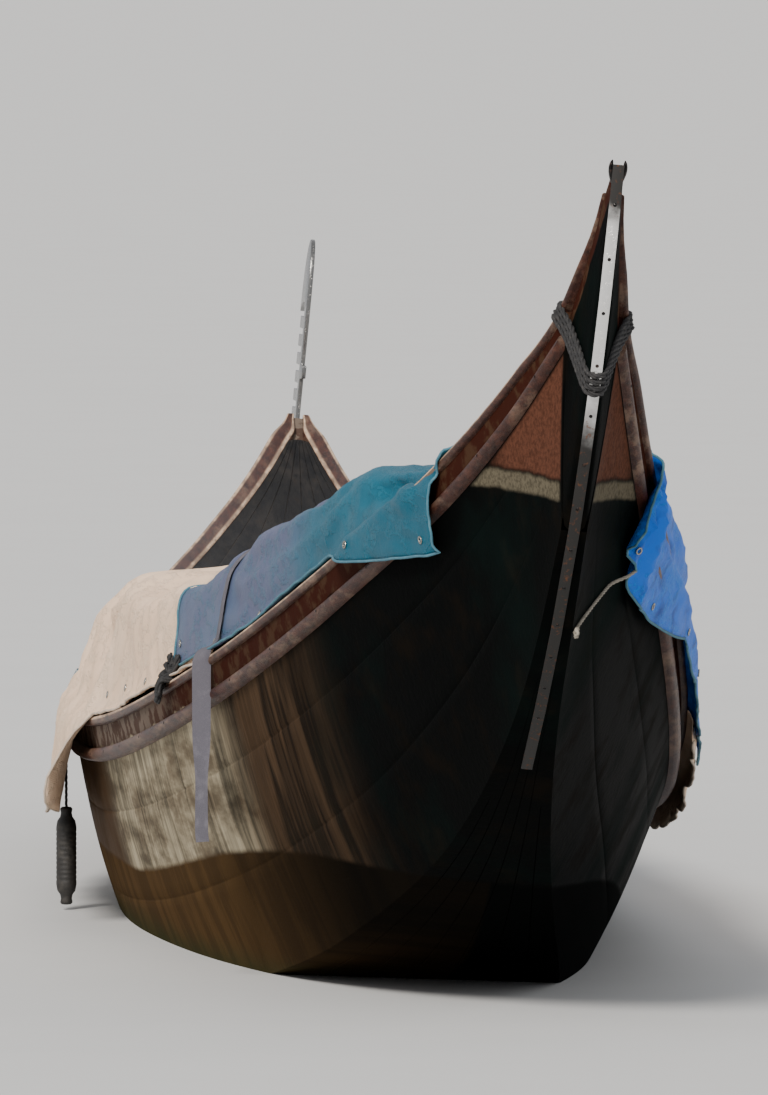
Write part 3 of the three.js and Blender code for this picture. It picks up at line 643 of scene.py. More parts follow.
@dataclass(frozen=True)
class HullPaint(Finish):
    """Black boat paint, faded and streaked, with the worn stretches of the planks and the bare band below it; the pale
    stretch on port is partly painted sunlight, and the plain black starboard partly painted shade.
    """

    black: Colour = (0.0022, 0.0026, 0.0025)
    green: Colour = (0.0035, 0.0070, 0.0062)
    # Pale stretch on port: partly chalky faded paint, partly painted sunlight on the glossy side.
    chalk_and_sunlight: Colour = (0.50, 0.435, 0.305)
    rust: Colour = (0.105, 0.042, 0.026)
    brown: Colour = (0.072, 0.044, 0.025)
    cream: Colour = (0.125, 0.107, 0.073)
    band: Colour = (0.036, 0.011, 0.007)
    tar: Colour = (0.082, 0.048, 0.021)
    dark_tar: Colour = (0.046, 0.028, 0.014)
    tar_top: float = 0.110  # upright height where the paint ends
    tar_rise: float = 0.185  # how much higher the tar goes towards the stern
    tar_run: tuple[float, float] = (-3.4, -1.0)  # where along the boat it comes down again
    band_below: float = 0.052  # depth of the reddish band under the rail
    grey_band: Colour = (0.16, 0.125, 0.10)  # of that band amidships
    slime: Colour = (0.028, 0.040, 0.018)
    brown_run: tuple[tuple[float, float], tuple[float, float]] = ((-3.80, -3.25), (0.6, 2.4))
    pale_run: tuple[tuple[float, float], tuple[float, float]] = ((-3.05, -2.60), (-1.30, -0.85))
    all_brown: tuple[float, float] = (-1.4, -0.8)  # up to where the brown covers the paint
    grey_from: tuple[float, float] = (-2.7, -1.9)  # from where the band under the rail is grey
    black_tar: tuple[float, float] = (-3.5, -2.0)  # up to where the tar is black too
    post: float = -5.148  # where the planks end at the stern
    under_strake: tuple[float, float] = (0.085, 0.100)  # depths under the rail
    patch_foot: tuple[float, float] = (1.275, 1.290)
    patch_end: tuple[float, float] = (-4.86, -4.70)
    crescent: tuple[tuple[float, float], tuple[float, float]] = ((1.228, 1.240), (1.268, 1.282))

    def paint(self, w: Wiring, place: NodeSocket) -> None:
        """Fills the material's tree."""
        fx = self.effects
        x, along, _ = w.parts(place)
        # Port only: the brown streaks, the pale stretch and the brown tar; the starboard side stays plain black, partly
        # painted shade for the side that lies in shade.
        port = w.step(x, -0.05, 0.03, 1.0, 0.0)
        up = w.level(place)
        below = w.attribute("below")
        ragged = w.times(w.minus(w.noise(place, 9.0), 0.5), 0.05)
        runs = w.group(fx.runs, {"Vector": place, "Wide": 0.11, "Long": 5.0, "Cover": 0.66}).outputs[0]
        thin = w.group(fx.runs, {"Vector": place, "Wide": 0.030, "Long": 14.0, "Cover": 0.6}).outputs[0]
        moss = self.patches(w, place, 0.5, 0.55, 0.2)
        colour = w.mix(moss, self.black, self.green)
        grey = self.patches(w, place, 0.16, 0.45, 0.3)
        colour = w.mix(w.times(grey, 0.10), colour, self.brown)
        brown_run = w.times(self._stretch(w, along, *self.brown_run), port)
        brown_share = w.plus(w.times(runs, 0.45), w.times(thin, 0.25))
        brown_share = w.math("MAXIMUM", w.plus(brown_share, 0.20), w.step(along, *self.all_brown, 0.0, 0.9))
        colour = w.mix(w.times(brown_run, brown_share), colour, self.brown)
        # The pale stretch on port: chalky streaks, partly painted sunlight.
        pale_run = w.times(self._stretch(w, along, *self.pale_run), port)
        mottle = w.noise(w.stretched(place, (9.0, 2.2, 9.0)), 1.0, 5.0, 0.6)
        mottle = w.step(mottle, 0.36, 0.60, 0.25, 1.0)
        pale_share = w.plus(w.times(runs, 0.34), w.times(thin, 0.26))
        pale = w.times(pale_run, w.times(w.plus(pale_share, 0.34), mottle))
        colour = w.mix(pale, colour, self.chalk_and_sunlight)
        colour = self._stern_marks(w, place, along, up, below, colour)
        strip = w.step(w.plus(below, ragged), self.band_below - 0.004, self.band_below + 0.004, 1.0, 0.0)
        worn = self.patches(w, place, 0.06, 0.5, 0.08)
        strip_colour = w.mix(w.times(worn, 0.5), self.band, self.brown)
        grey_end = w.times(w.step(along, *self.grey_from), w.step(worn, 0.0, 0.6, 0.35, 0.95))
        strip_colour = w.mix(grey_end, strip_colour, self.grey_band)
        colour = w.mix(strip, colour, strip_colour)
        rise = w.step(along, *self.tar_run, self.tar_rise, 0.0)
        level = w.minus(w.plus(up, w.times(ragged, 0.12)), rise)
        tarred = w.step(level, self.tar_top - 0.008, self.tar_top + 0.008, 1.0, 0.0)
        tar = w.mix(w.times(runs, 0.6), self.tar, self.dark_tar)
        # The tar is plain black aft and on starboard; on starboard this is partly painted shade.
        plain = w.math("MAXIMUM", w.step(along, *self.black_tar, 0.95, 0.0), w.minus(1.0, port))
        tar = w.mix(plain, tar, self.black)
        slime = w.step(w.plus(up, ragged), -0.08, 0.03, 1.0, 0.0)
        tar = w.mix(w.times(slime, 0.7), tar, self.slime)
        colour = w.mix(tarred, colour, tar)
        dull = w.math("MAXIMUM", w.math("MAXIMUM", tarred, pale), w.times(grey, 0.7))
        rough_value = w.between(dull, w.between(moss, 0.50, 0.68), 0.85)
        height = w.plus(w.noise(place, 55.0, 5.0), w.times(w.noise(place, 240.0, 3.0), 0.25))
        self.end(w, height, 0.0012, colour, rough_value, {"Specular IOR Level": 0.03, "IOR": 1.15})

    @staticmethod
    def _stretch(w: Wiring, along: NodeSocket, rise: tuple[float, float], fall: tuple[float, float]) -> NodeSocket:
        """A mask over one stretch of the boat or between two heights, with soft ends."""
        return w.times(w.step(along, *rise), w.step(along, *fall, 1.0, 0.0))

    def _stern_marks(
        self, w: Wiring, place: NodeSocket, along: NodeSocket, up: NodeSocket, below: NodeSocket, colour: NodeSocket
    ) -> NodeSocket:
        """The rust-red speckled patch under the strake at the stern and the pale crescent that ends it."""
        speck = w.noise(place, 90.0, 4.0, 0.7)
        level = w.plus(up, w.times(w.minus(w.noise(place, 3.5, 3.0), 0.5), 0.05))
        under = w.step(below, *self.under_strake)
        patch = w.times(w.step(level, *self.patch_foot), w.step(along, *self.patch_end, 1.0, 0.0))
        patch = w.times(w.times(patch, under), w.step(along, self.post, self.post + 0.013))
        colour = w.mix(w.times(patch, w.step(speck, 0.35, 0.62, 0.55, 1.0)), colour, self.rust)
        crescent = self._stretch(w, level, *self.crescent)
        crescent = w.times(w.times(crescent, under), w.step(along, self.post, self.post + 0.028))
        return w.mix(w.times(crescent, w.step(speck, 0.35, 0.6, 0.5, 0.95)), colour, self.cream)


@dataclass(frozen=True)
class WornWood(Finish):
    """Stained and varnished wood, rubbed pale along its edges."""

    dark: Colour = (0.028, 0.008, 0.005)
    light: Colour = (0.085, 0.028, 0.016)
    bare: Colour = (0.60, 0.43, 0.30)
    bare_share: float = 1.0
    gloss: float = 0.45
    specular: float = 0.25

    def paint(self, w: Wiring, place: NodeSocket) -> None:
        """Fills the material's tree."""
        fx = self.effects
        grain = w.group(fx.grain, {"Vector": place, "Fine": 0.0035, "Long": 40.0})
        broad = w.group(fx.grain, {"Vector": place, "Fine": 0.016, "Long": 26.0})
        colour = w.mix(broad.outputs[0], self.dark, self.light)
        colour = w.mix(w.times(grain.outputs[0], 0.5), colour, self.dark)
        with_grain = w.stretched(place, (1.0, 0.09, 1.0))
        chips = self.patches(w, with_grain, 0.035, 0.62, 0.12)
        worn = self.patches(w, with_grain, 0.14, 0.62, 0.3)
        rubbed = w.step(w.attribute("edge"), 0.58, 0.90)
        rubbed = w.times(rubbed, w.between(chips, 0.45, 1.0))
        rubbed = w.math("MAXIMUM", rubbed, w.times(w.times(chips, worn), 0.35))
        rubbed = w.times(rubbed, self.bare_share)
        colour = w.mix(rubbed, colour, self.bare)
        dirt = self.patches(w, with_grain, 0.02, 0.3, 0.1)
        colour = w.mix(w.times(dirt, 0.55), colour, (0.020, 0.014, 0.010))
        height = w.plus(grain.outputs[1], w.times(chips, 0.6))
        roughness = w.between(rubbed, self.gloss, 0.75)
        self.end(w, height, 0.0007, colour, roughness, {"Specular IOR Level": self.specular})


@dataclass(frozen=True)
class Tarpaulin(Finish):
    """Woven sheet, coated or plain, faded, creased and dusty; where it has a starboard colour, that side gets painted
    sunlight, painted highlights and painted fold shade.
    """

    cloth: Colour = (0.03, 0.12, 0.30)
    faded: Colour = (0.10, 0.20, 0.36)
    dust: Colour = (0.32, 0.27, 0.22)
    other: Colour | None = None  # colour of the sheet's far stretch
    other_from: tuple[float, float] = (0.0, 1.0)  # between which places along the boat it comes in
    # Painted light: where the sheet hangs to starboard it is the same blue painted brighter as if in sunlight, with
    # painted highlights on its creases and painted shade in its folds.
    starboard: Colour | None = None  # colour where the sheet hangs to starboard
    starboard_from: tuple[float, float] = (0.14, 0.26)
    starboard_highlight: Colour = (0.01, 0.28, 0.85)
    starboard_fold_shade: Colour = (0.0, 0.025, 0.22)
    thread: float = 0.0022
    gloss: float = 0.42
    specular: float = 0.22
    dusty: float = 0.4

    def paint(self, w: Wiring, place: NodeSocket) -> None:
        """Fills the material's tree."""
        x, along, _ = w.parts(place)
        colour: object = self.cloth
        if self.other:
            wander = w.plus(along, w.times(w.minus(w.noise(place, 3.0), 0.5), 0.5))
            colour = w.mix(w.step(wander, *self.other_from), colour, self.other)
        fade = self.patches(w, place, 0.55, 0.55, 0.35)
        colour = w.mix(w.times(fade, 0.6), colour, self.faded)
        crease = w.noise(w.stretched(place, (3.0, 1.6, 3.0)), 2.4, 7.0, 0.7)
        lines = w.step(w.math("ABSOLUTE", w.minus(crease, 0.5)), 0.0, 0.035, 1.0, 0.0)
        colour = w.mix(w.times(lines, 0.28), colour, self.faded)
        dust = self.patches(w, place, 0.13, 0.42, 0.3)
        dust = w.times(dust, self.dusty)
        colour = w.mix(dust, colour, self.dust)
        # Painted light on the starboard hang: a sunlit blue, painted highlights along the creases and patches of
        # painted shade for its folds.
        if self.starboard:
            sunlit_blue = w.mix(w.times(lines, 0.45), self.starboard, self.starboard_highlight)
            shadow = self.patches(w, place, 0.07, 0.48, 0.2)
            sunlit_blue = w.mix(w.times(shadow, 0.72), sunlit_blue, self.starboard_fold_shade)
            colour = w.mix(w.step(x, *self.starboard_from), colour, sunlit_blue)
        weave = self.weave(w, self.thread)
        height = w.plus(w.times(weave, 0.22), w.times(lines, 0.55))
        height = w.plus(height, w.times(w.noise(place, 14.0, 4.0), 1.6))
        roughness = w.between(dust, self.gloss, 0.85)
        self.end(w, height, 0.0035, colour, roughness, {"Specular IOR Level": self.specular})


@dataclass(frozen=True)
class Iron(Finish):
    """Iron that is polished over one stretch, and dull or rusty elsewhere."""

    bright: Colour = (0.80, 0.80, 0.79)
    dull: Colour = (0.022, 0.021, 0.020)
    rust: Colour = (0.12, 0.05, 0.025)
    polished: tuple[float, float, float, float] | None = None  # heights between which the polish comes and goes
    rusty: float = 0.3

    def paint(self, w: Wiring, place: NodeSocket) -> None:
        """Fills the material's tree."""
        up = w.plus(w.level(place), w.times(w.minus(w.noise(place, 30.0), 0.5), 0.10))
        spots = self.patches(w, place, 0.012, self.rusty, 0.1)
        smear = self.patches(w, place, 0.08, 0.45, 0.25)
        clean: object = 1.0
        if self.polished:
            a, b, c, d = self.polished
            clean = w.times(w.step(up, a, b), w.step(up, c, d, 1.0, 0.0))
        shine = w.times(clean, w.between(smear, 1.0, 0.72))
        colour = w.mix(shine, self.dull, self.bright)
        colour = w.mix(w.times(spots, w.between(clean, 0.8, 0.25)), colour, self.rust)
        brushed = w.noise(w.stretched(place, (900.0, 60.0, 60.0)), 1.0, 2.0)
        height = w.plus(w.times(brushed, 0.3), spots)
        roughness = w.plus(w.between(shine, 0.62, 0.24), w.times(spots, 0.3))
        metal = w.times(shine, w.between(spots, 1.0, 0.3))
        self.end(w, height, 0.0004, colour, roughness, {"Metallic": metal, "Specular IOR Level": 0.2})


@dataclass(frozen=True)
class Plain(Finish):
    """Rope, rubber, webbing or cushion cloth: one colour with wear, dirt and a weave or fibres."""

    main: Colour = (0.03, 0.028, 0.026)
    second: Colour = (0.07, 0.06, 0.05)
    speck: float = 0.02
    fibre: float = 0.002
    depth: float = 0.0006
    roughness: float = 0.8
    woven: bool = False
    sheen: float = 0.0

    def paint(self, w: Wiring, place: NodeSocket) -> None:
        """Fills the material's tree."""
        patches = self.patches(w, place, self.speck, 0.5, 0.2)
        colour = w.mix(patches, self.main, self.second)
        fine = w.noise(place, 1.0 / self.fibre, 4.0, 0.7)
        colour = w.mix(w.step(fine, 0.45, 0.7, 0.0, 0.4), colour, self.second)
        height: object = fine
        if self.woven:
            height = w.plus(fine, self.weave(w, self.fibre))
        roughness = w.between(patches, self.roughness, min(1.0, self.roughness + 0.1))
        self.end(w, height, self.depth, colour, roughness, {"Sheen Weight": self.sheen})


class Finishes:
    """Every material of the boat."""

    def __init__(self) -> None:
        """Builds the materials."""
        fx = SharedEffects()
        self.hull = HullPaint(fx, "black boat paint").build()
        self.rail = WornWood(fx, "rail wood").build()
        self.inner = WornWood(
            fx, "inner wood", dark=(0.035, 0.015, 0.010), light=(0.10, 0.045, 0.026), bare_share=0.3,
        ).build()
        self.deck = WornWood(
            fx, "deck paint", dark=(0.008, 0.008, 0.009), light=(0.016, 0.015, 0.014), bare=(0.12, 0.10, 0.085),
            bare_share=0.6, gloss=0.5, specular=0.03,
        ).build()
        self.iron = Iron(fx, "stern iron", polished=(1.34, 1.52, 1.82, 1.92)).build()
        self.blade = Iron(fx, "bow iron", bright=(0.20, 0.20, 0.195), rusty=0.25).build()
        self.dark_iron = Iron(
            fx, "dark iron", bright=(0.020, 0.019, 0.019), dull=(0.012, 0.012, 0.012), rusty=0.4,
        ).build()
        self.eyelet = Iron(
            fx, "eyelet metal", bright=(0.34, 0.33, 0.30), dull=(0.10, 0.09, 0.08), rust=(0.07, 0.05, 0.03),
        ).build()
        # The blue cover's starboard colour is painted sunlight on the same blue.
        self.blue = Tarpaulin(
            fx, "blue tarpaulin", cloth=(0.006, 0.095, 0.150), faded=(0.032, 0.185, 0.27), other=(0.090, 0.105, 0.185),
            other_from=(-3.75, -3.25), starboard=(0.001, 0.15, 0.72), dusty=0.15, specular=0.14,
        ).build()
        self.cream = Tarpaulin(
            fx, "cream canvas", cloth=(0.86, 0.62, 0.44), faded=(0.90, 0.74, 0.58), dust=(0.62, 0.43, 0.29),
            thread=0.003, gloss=0.75, dusty=0.22, specular=0.08,
        ).build()
        self.violet = Tarpaulin(
            fx, "violet tarpaulin", cloth=(0.035, 0.050, 0.155), faded=(0.10, 0.12, 0.26), other=(0.05, 0.045, 0.10),
            other_from=(1.9, 2.7), dusty=0.3,
        ).build()
        self.piping = Plain(fx, "pale piping", main=(0.045, 0.15, 0.21), second=(0.10, 0.23, 0.28)).build()
        self.cream_piping = Plain(fx, "cream piping", main=(0.52, 0.42, 0.33), second=(0.66, 0.56, 0.46)).build()
        self.webbing = Plain(
            fx, "pale webbing", main=(0.085, 0.080, 0.098), second=(0.15, 0.142, 0.165), speck=0.05, fibre=0.0022,
            woven=True,
        ).build()
        self.rubber = Plain(
            fx, "fender rubber", main=(0.012, 0.011, 0.010), second=(0.045, 0.040, 0.034), speck=0.03, roughness=0.6,
        ).build()
        self.dark_rope = Plain(
            fx, "dark rope", main=(0.012, 0.012, 0.013), second=(0.05, 0.047, 0.045), speck=0.01,
        ).build()
        self.light_rope = Plain(
            fx, "light rope", main=(0.30, 0.27, 0.22), second=(0.16, 0.14, 0.11), speck=0.015,
        ).build()
        self.cushion = Plain(
            fx, "cushion cloth", main=(0.19, 0.012, 0.022), second=(0.26, 0.03, 0.04), speck=0.08, woven=True,
            sheen=0.4,
        ).build()


# ---------------------------------------------------------------- what repeats or follows a path


class StudShape(Enum):
    """What a line of studs is made of."""

    NAIL = "nail head"
    EYELET = "eyelet"


class StudTrees:
    """Geometry Nodes trees that set nails or eyelets along a line."""

    def __init__(self) -> None:
        """Builds both trees."""
        self.trees = {shape: self._tree(shape) for shape in StudShape}

    def _tree(self, shape: StudShape) -> NodeTree:
        """The tree for one shape, with its spacing, size and material as inputs."""
        tree = bpy.data.node_groups.new(f"{shape.value}s along a line", "GeometryNodeTree")
        for name, kind in (("Line", "Geometry"), ("Spacing", "Float"), ("Size", "Float"), ("Material", "Material")):
            tree.interface.new_socket(name=name, in_out="INPUT", socket_type="NodeSocket" + kind)
        tree.interface.new_socket(name="Studs", in_out="OUTPUT", socket_type="NodeSocketGeometry")
        w = Wiring(tree)
        start, end = tree.nodes.new("NodeGroupInput"), tree.nodes.new("NodeGroupOutput")
        curve = w.node("GeometryNodeMeshToCurve", {"Mesh": start.outputs["Line"]})
        ins = {"Curve": curve.outputs[0], "Length": start.outputs["Spacing"]}
        points = w.node("GeometryNodeCurveToPoints", ins, mode="LENGTH")
        out = w.node("GeometryNodeInputNamedAttribute", {"Name": "out"}, data_type="FLOAT_VECTOR")
        turn = w.node("FunctionNodeAlignRotationToVector", {"Vector": out.outputs["Attribute"]}, axis="Z")
        if shape is StudShape.NAIL:
            ball = w.node("GeometryNodeMeshUVSphere", {"Segments": 10, "Rings": 6, "Radius": 1.0})
            one = w.node("GeometryNodeTransform", {"Geometry": ball.outputs[0], "Scale": (1.0, 1.0, 0.4)})
        else:
            ring = w.node("GeometryNodeCurvePrimitiveCircle", {"Resolution": 14, "Radius": 1.0})
            wire = w.node("GeometryNodeCurvePrimitiveCircle", {"Resolution": 6, "Radius": 0.3})
            one = w.node("GeometryNodeCurveToMesh", {"Curve": ring.outputs[0], "Profile Curve": wire.outputs[0]})
        ins = {"Points": points.outputs[0], "Instance": one.outputs[0], "Rotation": turn.outputs[0]}
        placed = w.node("GeometryNodeInstanceOnPoints", {**ins, "Scale": start.outputs["Size"]})
        real = w.node("GeometryNodeRealizeInstances", {0: placed.outputs[0]})
        ins = {"Geometry": real.outputs[0], "Material": start.outputs["Material"]}
        dressed = w.node("GeometryNodeSetMaterial", ins)
        tree.links.new(dressed.outputs[0], end.inputs["Studs"])
        return tree

    def along(self, name: str, line: np.ndarray, out: np.ndarray, shape: StudShape, spacing: float, size: float,
              material: Material) -> Object:
        """Studs along a line.

        Args:
            name: the piece's name.
            line: points in the row frame.
            out: the way out of the surface at each point.
            shape: nails or eyelets.
            spacing: distance from one to the next.
            size: radius of one.
            material: its finish.

        Returns:
            The studs as one plain mesh.
        """
        mesh = bpy.data.meshes.new(f"{name} line")
        mesh.from_pydata([tuple(p) for p in line], [(i, i + 1) for i in range(len(line) - 1)], [])
        layer = mesh.attributes.new("out", "FLOAT_VECTOR", "POINT")
        layer.data.foreach_set("vector", np.asarray(out, np.float32).ravel())
        path = in_scene(f"{name} line", mesh)
        modifier = path.modifiers.new("studs", "NODES")
        modifier.node_group = self.trees[shape]
        sockets = {s.name: s.identifier for s in modifier.node_group.interface.items_tree if s.in_out == "INPUT"}
        for key, value in (("Spacing", spacing), ("Size", size), ("Material", material)):
            modifier[sockets[key]] = value
        graph = bpy.context.evaluated_depsgraph_get()
        made = bpy.data.meshes.new_from_object(path.evaluated_get(graph))
        bpy.data.objects.remove(path)
        piece = in_scene(name, made)
        turn_outwards(piece)
        return piece


def framed(path: np.ndarray) -> tuple[np.ndarray, np.ndarray, np.ndarray]:
    """Directions along a path and two that stay square to it without twisting."""
    ahead = unit(np.gradient(path, axis=0))
    sides = [unit(np.cross(ahead[0], (0.3, 0.2, 1.0) if abs(ahead[0][2]) < 0.9 else (1.0, 0.2, 0.1)))]
    for direction in ahead[1:]:
        sides.append(unit(sides[-1] - direction * np.dot(sides[-1], direction)))
    across = np.array(sides)
    return ahead, across, np.cross(ahead, across)


def hoops_round(path: np.ndarray, side: np.ndarray, up: np.ndarray, radius: float, around: int) -> np.ndarray:
    """A ring of points round each point of a path, in the plane of two directions at that point."""
    angle = circle(around)
    return path[:, None] + radius * (
        side[:, None] * np.cos(angle)[None, :, None] + up[:, None] * np.sin(angle)[None, :, None]
    )


def rope(name: str, path: np.ndarray, radius: float, lay: float = 5.5, strands: int = 3, around: int = 7) -> Object:
    """A laid rope.

    Args:
        name: the piece's name.
        path: its centreline in the row frame.
        radius: half its diameter.
        lay: length of one turn of a strand, in diameters.
        strands: how many strands it has.
        around: corners round each strand.

    Returns:
        All strands as one mesh, each closed.
    """
    length = np.linalg.norm(np.diff(path, axis=0), axis=1).sum()
    path = spaced(path, max(8, int(length / (radius * 0.9))))
    _, across, over = framed(path)
    run = np.linspace(0.0, length, len(path))
    turn = 2 * math.pi * run / (lay * 2 * radius)
    points: list[np.ndarray] = []
    faces: list[tuple[int, ...]] = []
    for k in range(strands):
        angle = turn + 2 * math.pi * k / strands
        out = across * np.cos(angle)[:, None] + over * np.sin(angle)[:, None]
        ring = hoops_round(path + out * radius * 0.5, across, over, radius * 0.54, around)
        faces += ring_faces(len(path), around, first=sum(len(p) for p in points))
        points.append(ring.reshape(-1, 3))
    piece = mesh_piece(name, np.concatenate(points), faces, 60)
    turn_outwards(piece)
    return piece


def lathe(name: str, centre: Sequence[float], profile: Sequence[tuple[float, float]], around: int = 28) -> Object:
    """A closed round body that stands plumb.

    Args:
        name: the piece's name.
        centre: the foot of its axis in the row frame.
        profile: radii and heights from the foot up.
        around: corners round it.

    Returns:
        The new object.
    """
    corner = circle(around)
    rings = np.array([
        [(centre[0] + r * math.cos(a), centre[1] + r * math.sin(a), centre[2] + h) for a in corner] for r, h in profile
    ])
    return tube(name, upright(rings), 50)


# ---------------------------------------------------------------- the hull


@dataclass
class Planking:
    """The bottom and the planked sides."""

    form: HullForm
    finishes: Finishes
    rings: int = 340
    seams: tuple[float, ...] = (0.33, 0.67)  # plank seams as shares of the side's height
    seam_deep: float = 0.0025
    seam_wide: float = 0.006  # as a share of the side's height
    dent: float = 0.0035
    bottom_thick: float = 0.026
    bottom_planks: int = 7

    def build(self) -> list[Object]:
        """Both sides and the bottom."""
        return [*(self.side(side) for side in Side), self.bottom()]

    def side(self, side: Side) -> Object:
        """One planked side, with shallow seams and the unevenness of old planks."""
        ys = np.linspace(STERN_END, BOW_END, self.rings)
        grooves = [seam + k * self.seam_wide for seam in self.seams for k in (-1.5, -0.6, 0.0, 0.6, 1.5)]
        shares = np.unique(np.concatenate([np.linspace(0.0, 1.0, 25), grooves]))
        skin = self.form.skin(side, ys, shares)
        full = ease(np.abs(skin[..., 0]), 0.04, 0.16)
        skin[..., 0] += side.value * self.dent * full * rough(skin * (1.0, 0.4, 1.0), 0.3, 7.0 * side.value)
        for seam in self.seams:
            dip = np.exp(-(((shares - seam) / self.seam_wide) ** 2))
            skin[..., 0] -= side.value * self.seam_deep * full * dip[None, :]
        inner = skin[:, ::-1].copy()
        inner[..., 0] = side.value * np.maximum(np.abs(inner[..., 0]) - PLANK, 0.0015)
        rings = np.concatenate([skin, inner], axis=1)
        below = self.form.sheer(ys)[:, None] - rings[..., 2]
        piece = tube(f"planks_{side.label}", rings, 50, below=below)
        nodes = [f"side_{side.label}_{part}" for part in LENGTHS]
        return settle(piece, self.finishes.hull, "black_paint", *nodes)

    def bottom(self) -> Object:
        """The flat bottom with the seams between its planks."""
        ys = np.linspace(STERN_END, BOW_END, 220)
        edges = {side: self.form.skin(side, ys, [0.0])[:, 0] for side in Side}
        level = edges[Side.PORT][:, 2]
        across = []
        for k in range(self.bottom_planks):
            across += [(k + u) / self.bottom_planks for u in (0.0, 0.03, 0.5, 0.97)]
        across = np.array([*across, 1.0])
        dips = np.where(np.isclose(across * self.bottom_planks % 1, 0.0), 1.0, 0.0)
        dips[[0, -1]] = 0.0
        port, star = edges[Side.PORT][:, None, 0], edges[Side.STARBOARD][:, None, 0]
        x = port + (star - port) * across[None, :]
        y = np.repeat(ys[:, None], len(across), axis=1)
        under = np.stack([x, y, level[:, None] + dips[None, :] * 0.003], axis=-1)
        over = np.stack([x, y, np.repeat(level[:, None] + self.bottom_thick, len(across), axis=1)], axis=-1)
        rings = np.concatenate([under, over[:, ::-1]], axis=1)
        piece = tube("bottom", rings, 30, below=np.full(rings.shape[:2], 1.0))
        return settle(piece, self.finishes.hull, "tarred_bottom", "bottom_planks")


@dataclass
class Heads:
    """The solid ends past the planking, the iron band on the stern and the blade on the bow."""

    finishes: Finishes
    stern: tuple[tuple[float, ...], ...] = (
        (-5.151, 1.165, -5.151, 1.650, 0.028, 0.060),
        (-5.255, 1.325, -5.228, 1.738, 0.024, 0.045),
        (-5.335, 1.500, -5.293, 1.828, 0.020, 0.032),
        (-5.385, 1.685, -5.342, 1.912, 0.016, 0.022),
        (-5.403, 1.820, -5.368, 1.950, 0.013, 0.016),
        (-5.409, 1.905, -5.382, 1.962, 0.012, 0.014),
    )
    bow: tuple[tuple[float, ...], ...] = (
        (4.901, 0.872, 4.901, 1.014, 0.028, 0.072),
        (5.005, 0.975, 4.998, 1.056, 0.023, 0.052),
        (5.085, 1.072, 5.078, 1.098, 0.018, 0.032),
    )
    studs: StudTrees | None = None
    prong_high: float = 0.052
    prong_apart: float = 0.030
    nails: tuple[float, float] = (0.72, 1.90)  # heights of the lowest and the highest
    nail_every: float = 0.115
    nail_size: float = 0.0042

    def build(self) -> list[Object]:
        """Both heads, the fork on the stern's tip and the iron."""
        stern = settle(self.head("stern_post", self.stern, 70), self.finishes.hull, "black_paint", "stern_head")
        bow = settle(self.head("stem_post", self.bow, 20), self.finishes.hull, "black_paint", "bow_head")
        band = settle(softened("stern_iron", "stern_band", 0.0012), self.finishes.iron, "iron", "stern_iron")
        blade = settle(softened("bow_iron", "bow_blade", 0.0018), self.finishes.blade, "iron", "bow_iron")
        prongs = [settle(self.prong(side), self.finishes.dark_iron, "iron") for side in Side]
        return [stern, bow, band, blade, *prongs, self.band_nails(band)]

    def band_nails(self, band: Object) -> Object:
        """Nails down the middle of the band on the stern."""
        tree = surface_of(band.name)
        hits, away = [], []
        for z in np.linspace(self.nails[0], self.nails[1], 60):
            hit, normal, *_ = tree.ray_cast(Vector(afloat((0.0, -7.0, z))), Vector((0.0, 1.0, 0.0)))
            if hit:
                hits.append(hit[:])
                away.append(normal[:])
        dark = self.finishes.dark_iron
        line, out = np.array(hits), np.array(away)
        made = self.studs.along("band_nails", line, out, StudShape.NAIL, self.nail_every, self.nail_size, dark)
        return settle(made, dark, "iron")

    def head(self, name: str, table: tuple[tuple[float, ...], ...], count: int) -> Object:
        """A solid end, from rows of foot and top places with their half widths."""
        rows = smooth(range(len(table)), np.array(table), np.linspace(0, len(table) - 1, count))
        shares = np.array([0.0, 0.02, 0.08, 0.25, 0.5, 0.75, 0.92, 0.98, 1.0])
        full = np.array([0.45, 0.8, 0.97, 1.05, 1.08, 1.05, 1.0, 0.93, 0.7])
        rings = []
        for foot_y, foot_z, top_y, top_z, foot_half, top_half in rows:
            half = (foot_half + shares * (top_half - foot_half)) * full
            y, z = foot_y + shares * (top_y - foot_y), foot_z + shares * (top_z - foot_z)
            near = np.stack([half, y, z], axis=-1)
            rings.append(np.concatenate([near, near[::-1] * (-1, 1, 1)]))
        rings = np.array(rings)
        below = (rows[:, None, 3] - rings[..., 2]) * 0.9
        return tube(name, rings, 45, below=below)

    def prong(self, side: Side) -> Object:
        """One small prong of the fork on the stern's tip."""
        t = np.linspace(0.0, 1.0, 12)
        out = side.value * self.prong_apart / 2
        x = out * (0.35 + 0.9 * np.sin(t * 1.9) - 0.25 * t)
        y = -5.393 - 0.012 * t
        z = 1.948 + self.prong_high * t
        radius = 0.0075 * np.sqrt(np.clip(1.02 - t**2, 0.02, 1.0))
        around = circle(12)
        rings = np.stack([
            x[:, None] + radius[:, None] * np.cos(around),
            y[:, None] + radius[:, None] * 1.5 * np.sin(around),
            np.repeat(z[:, None], 12, axis=1),
        ], axis=-1)
        return tube(f"stern_prong_{side.label}", rings)


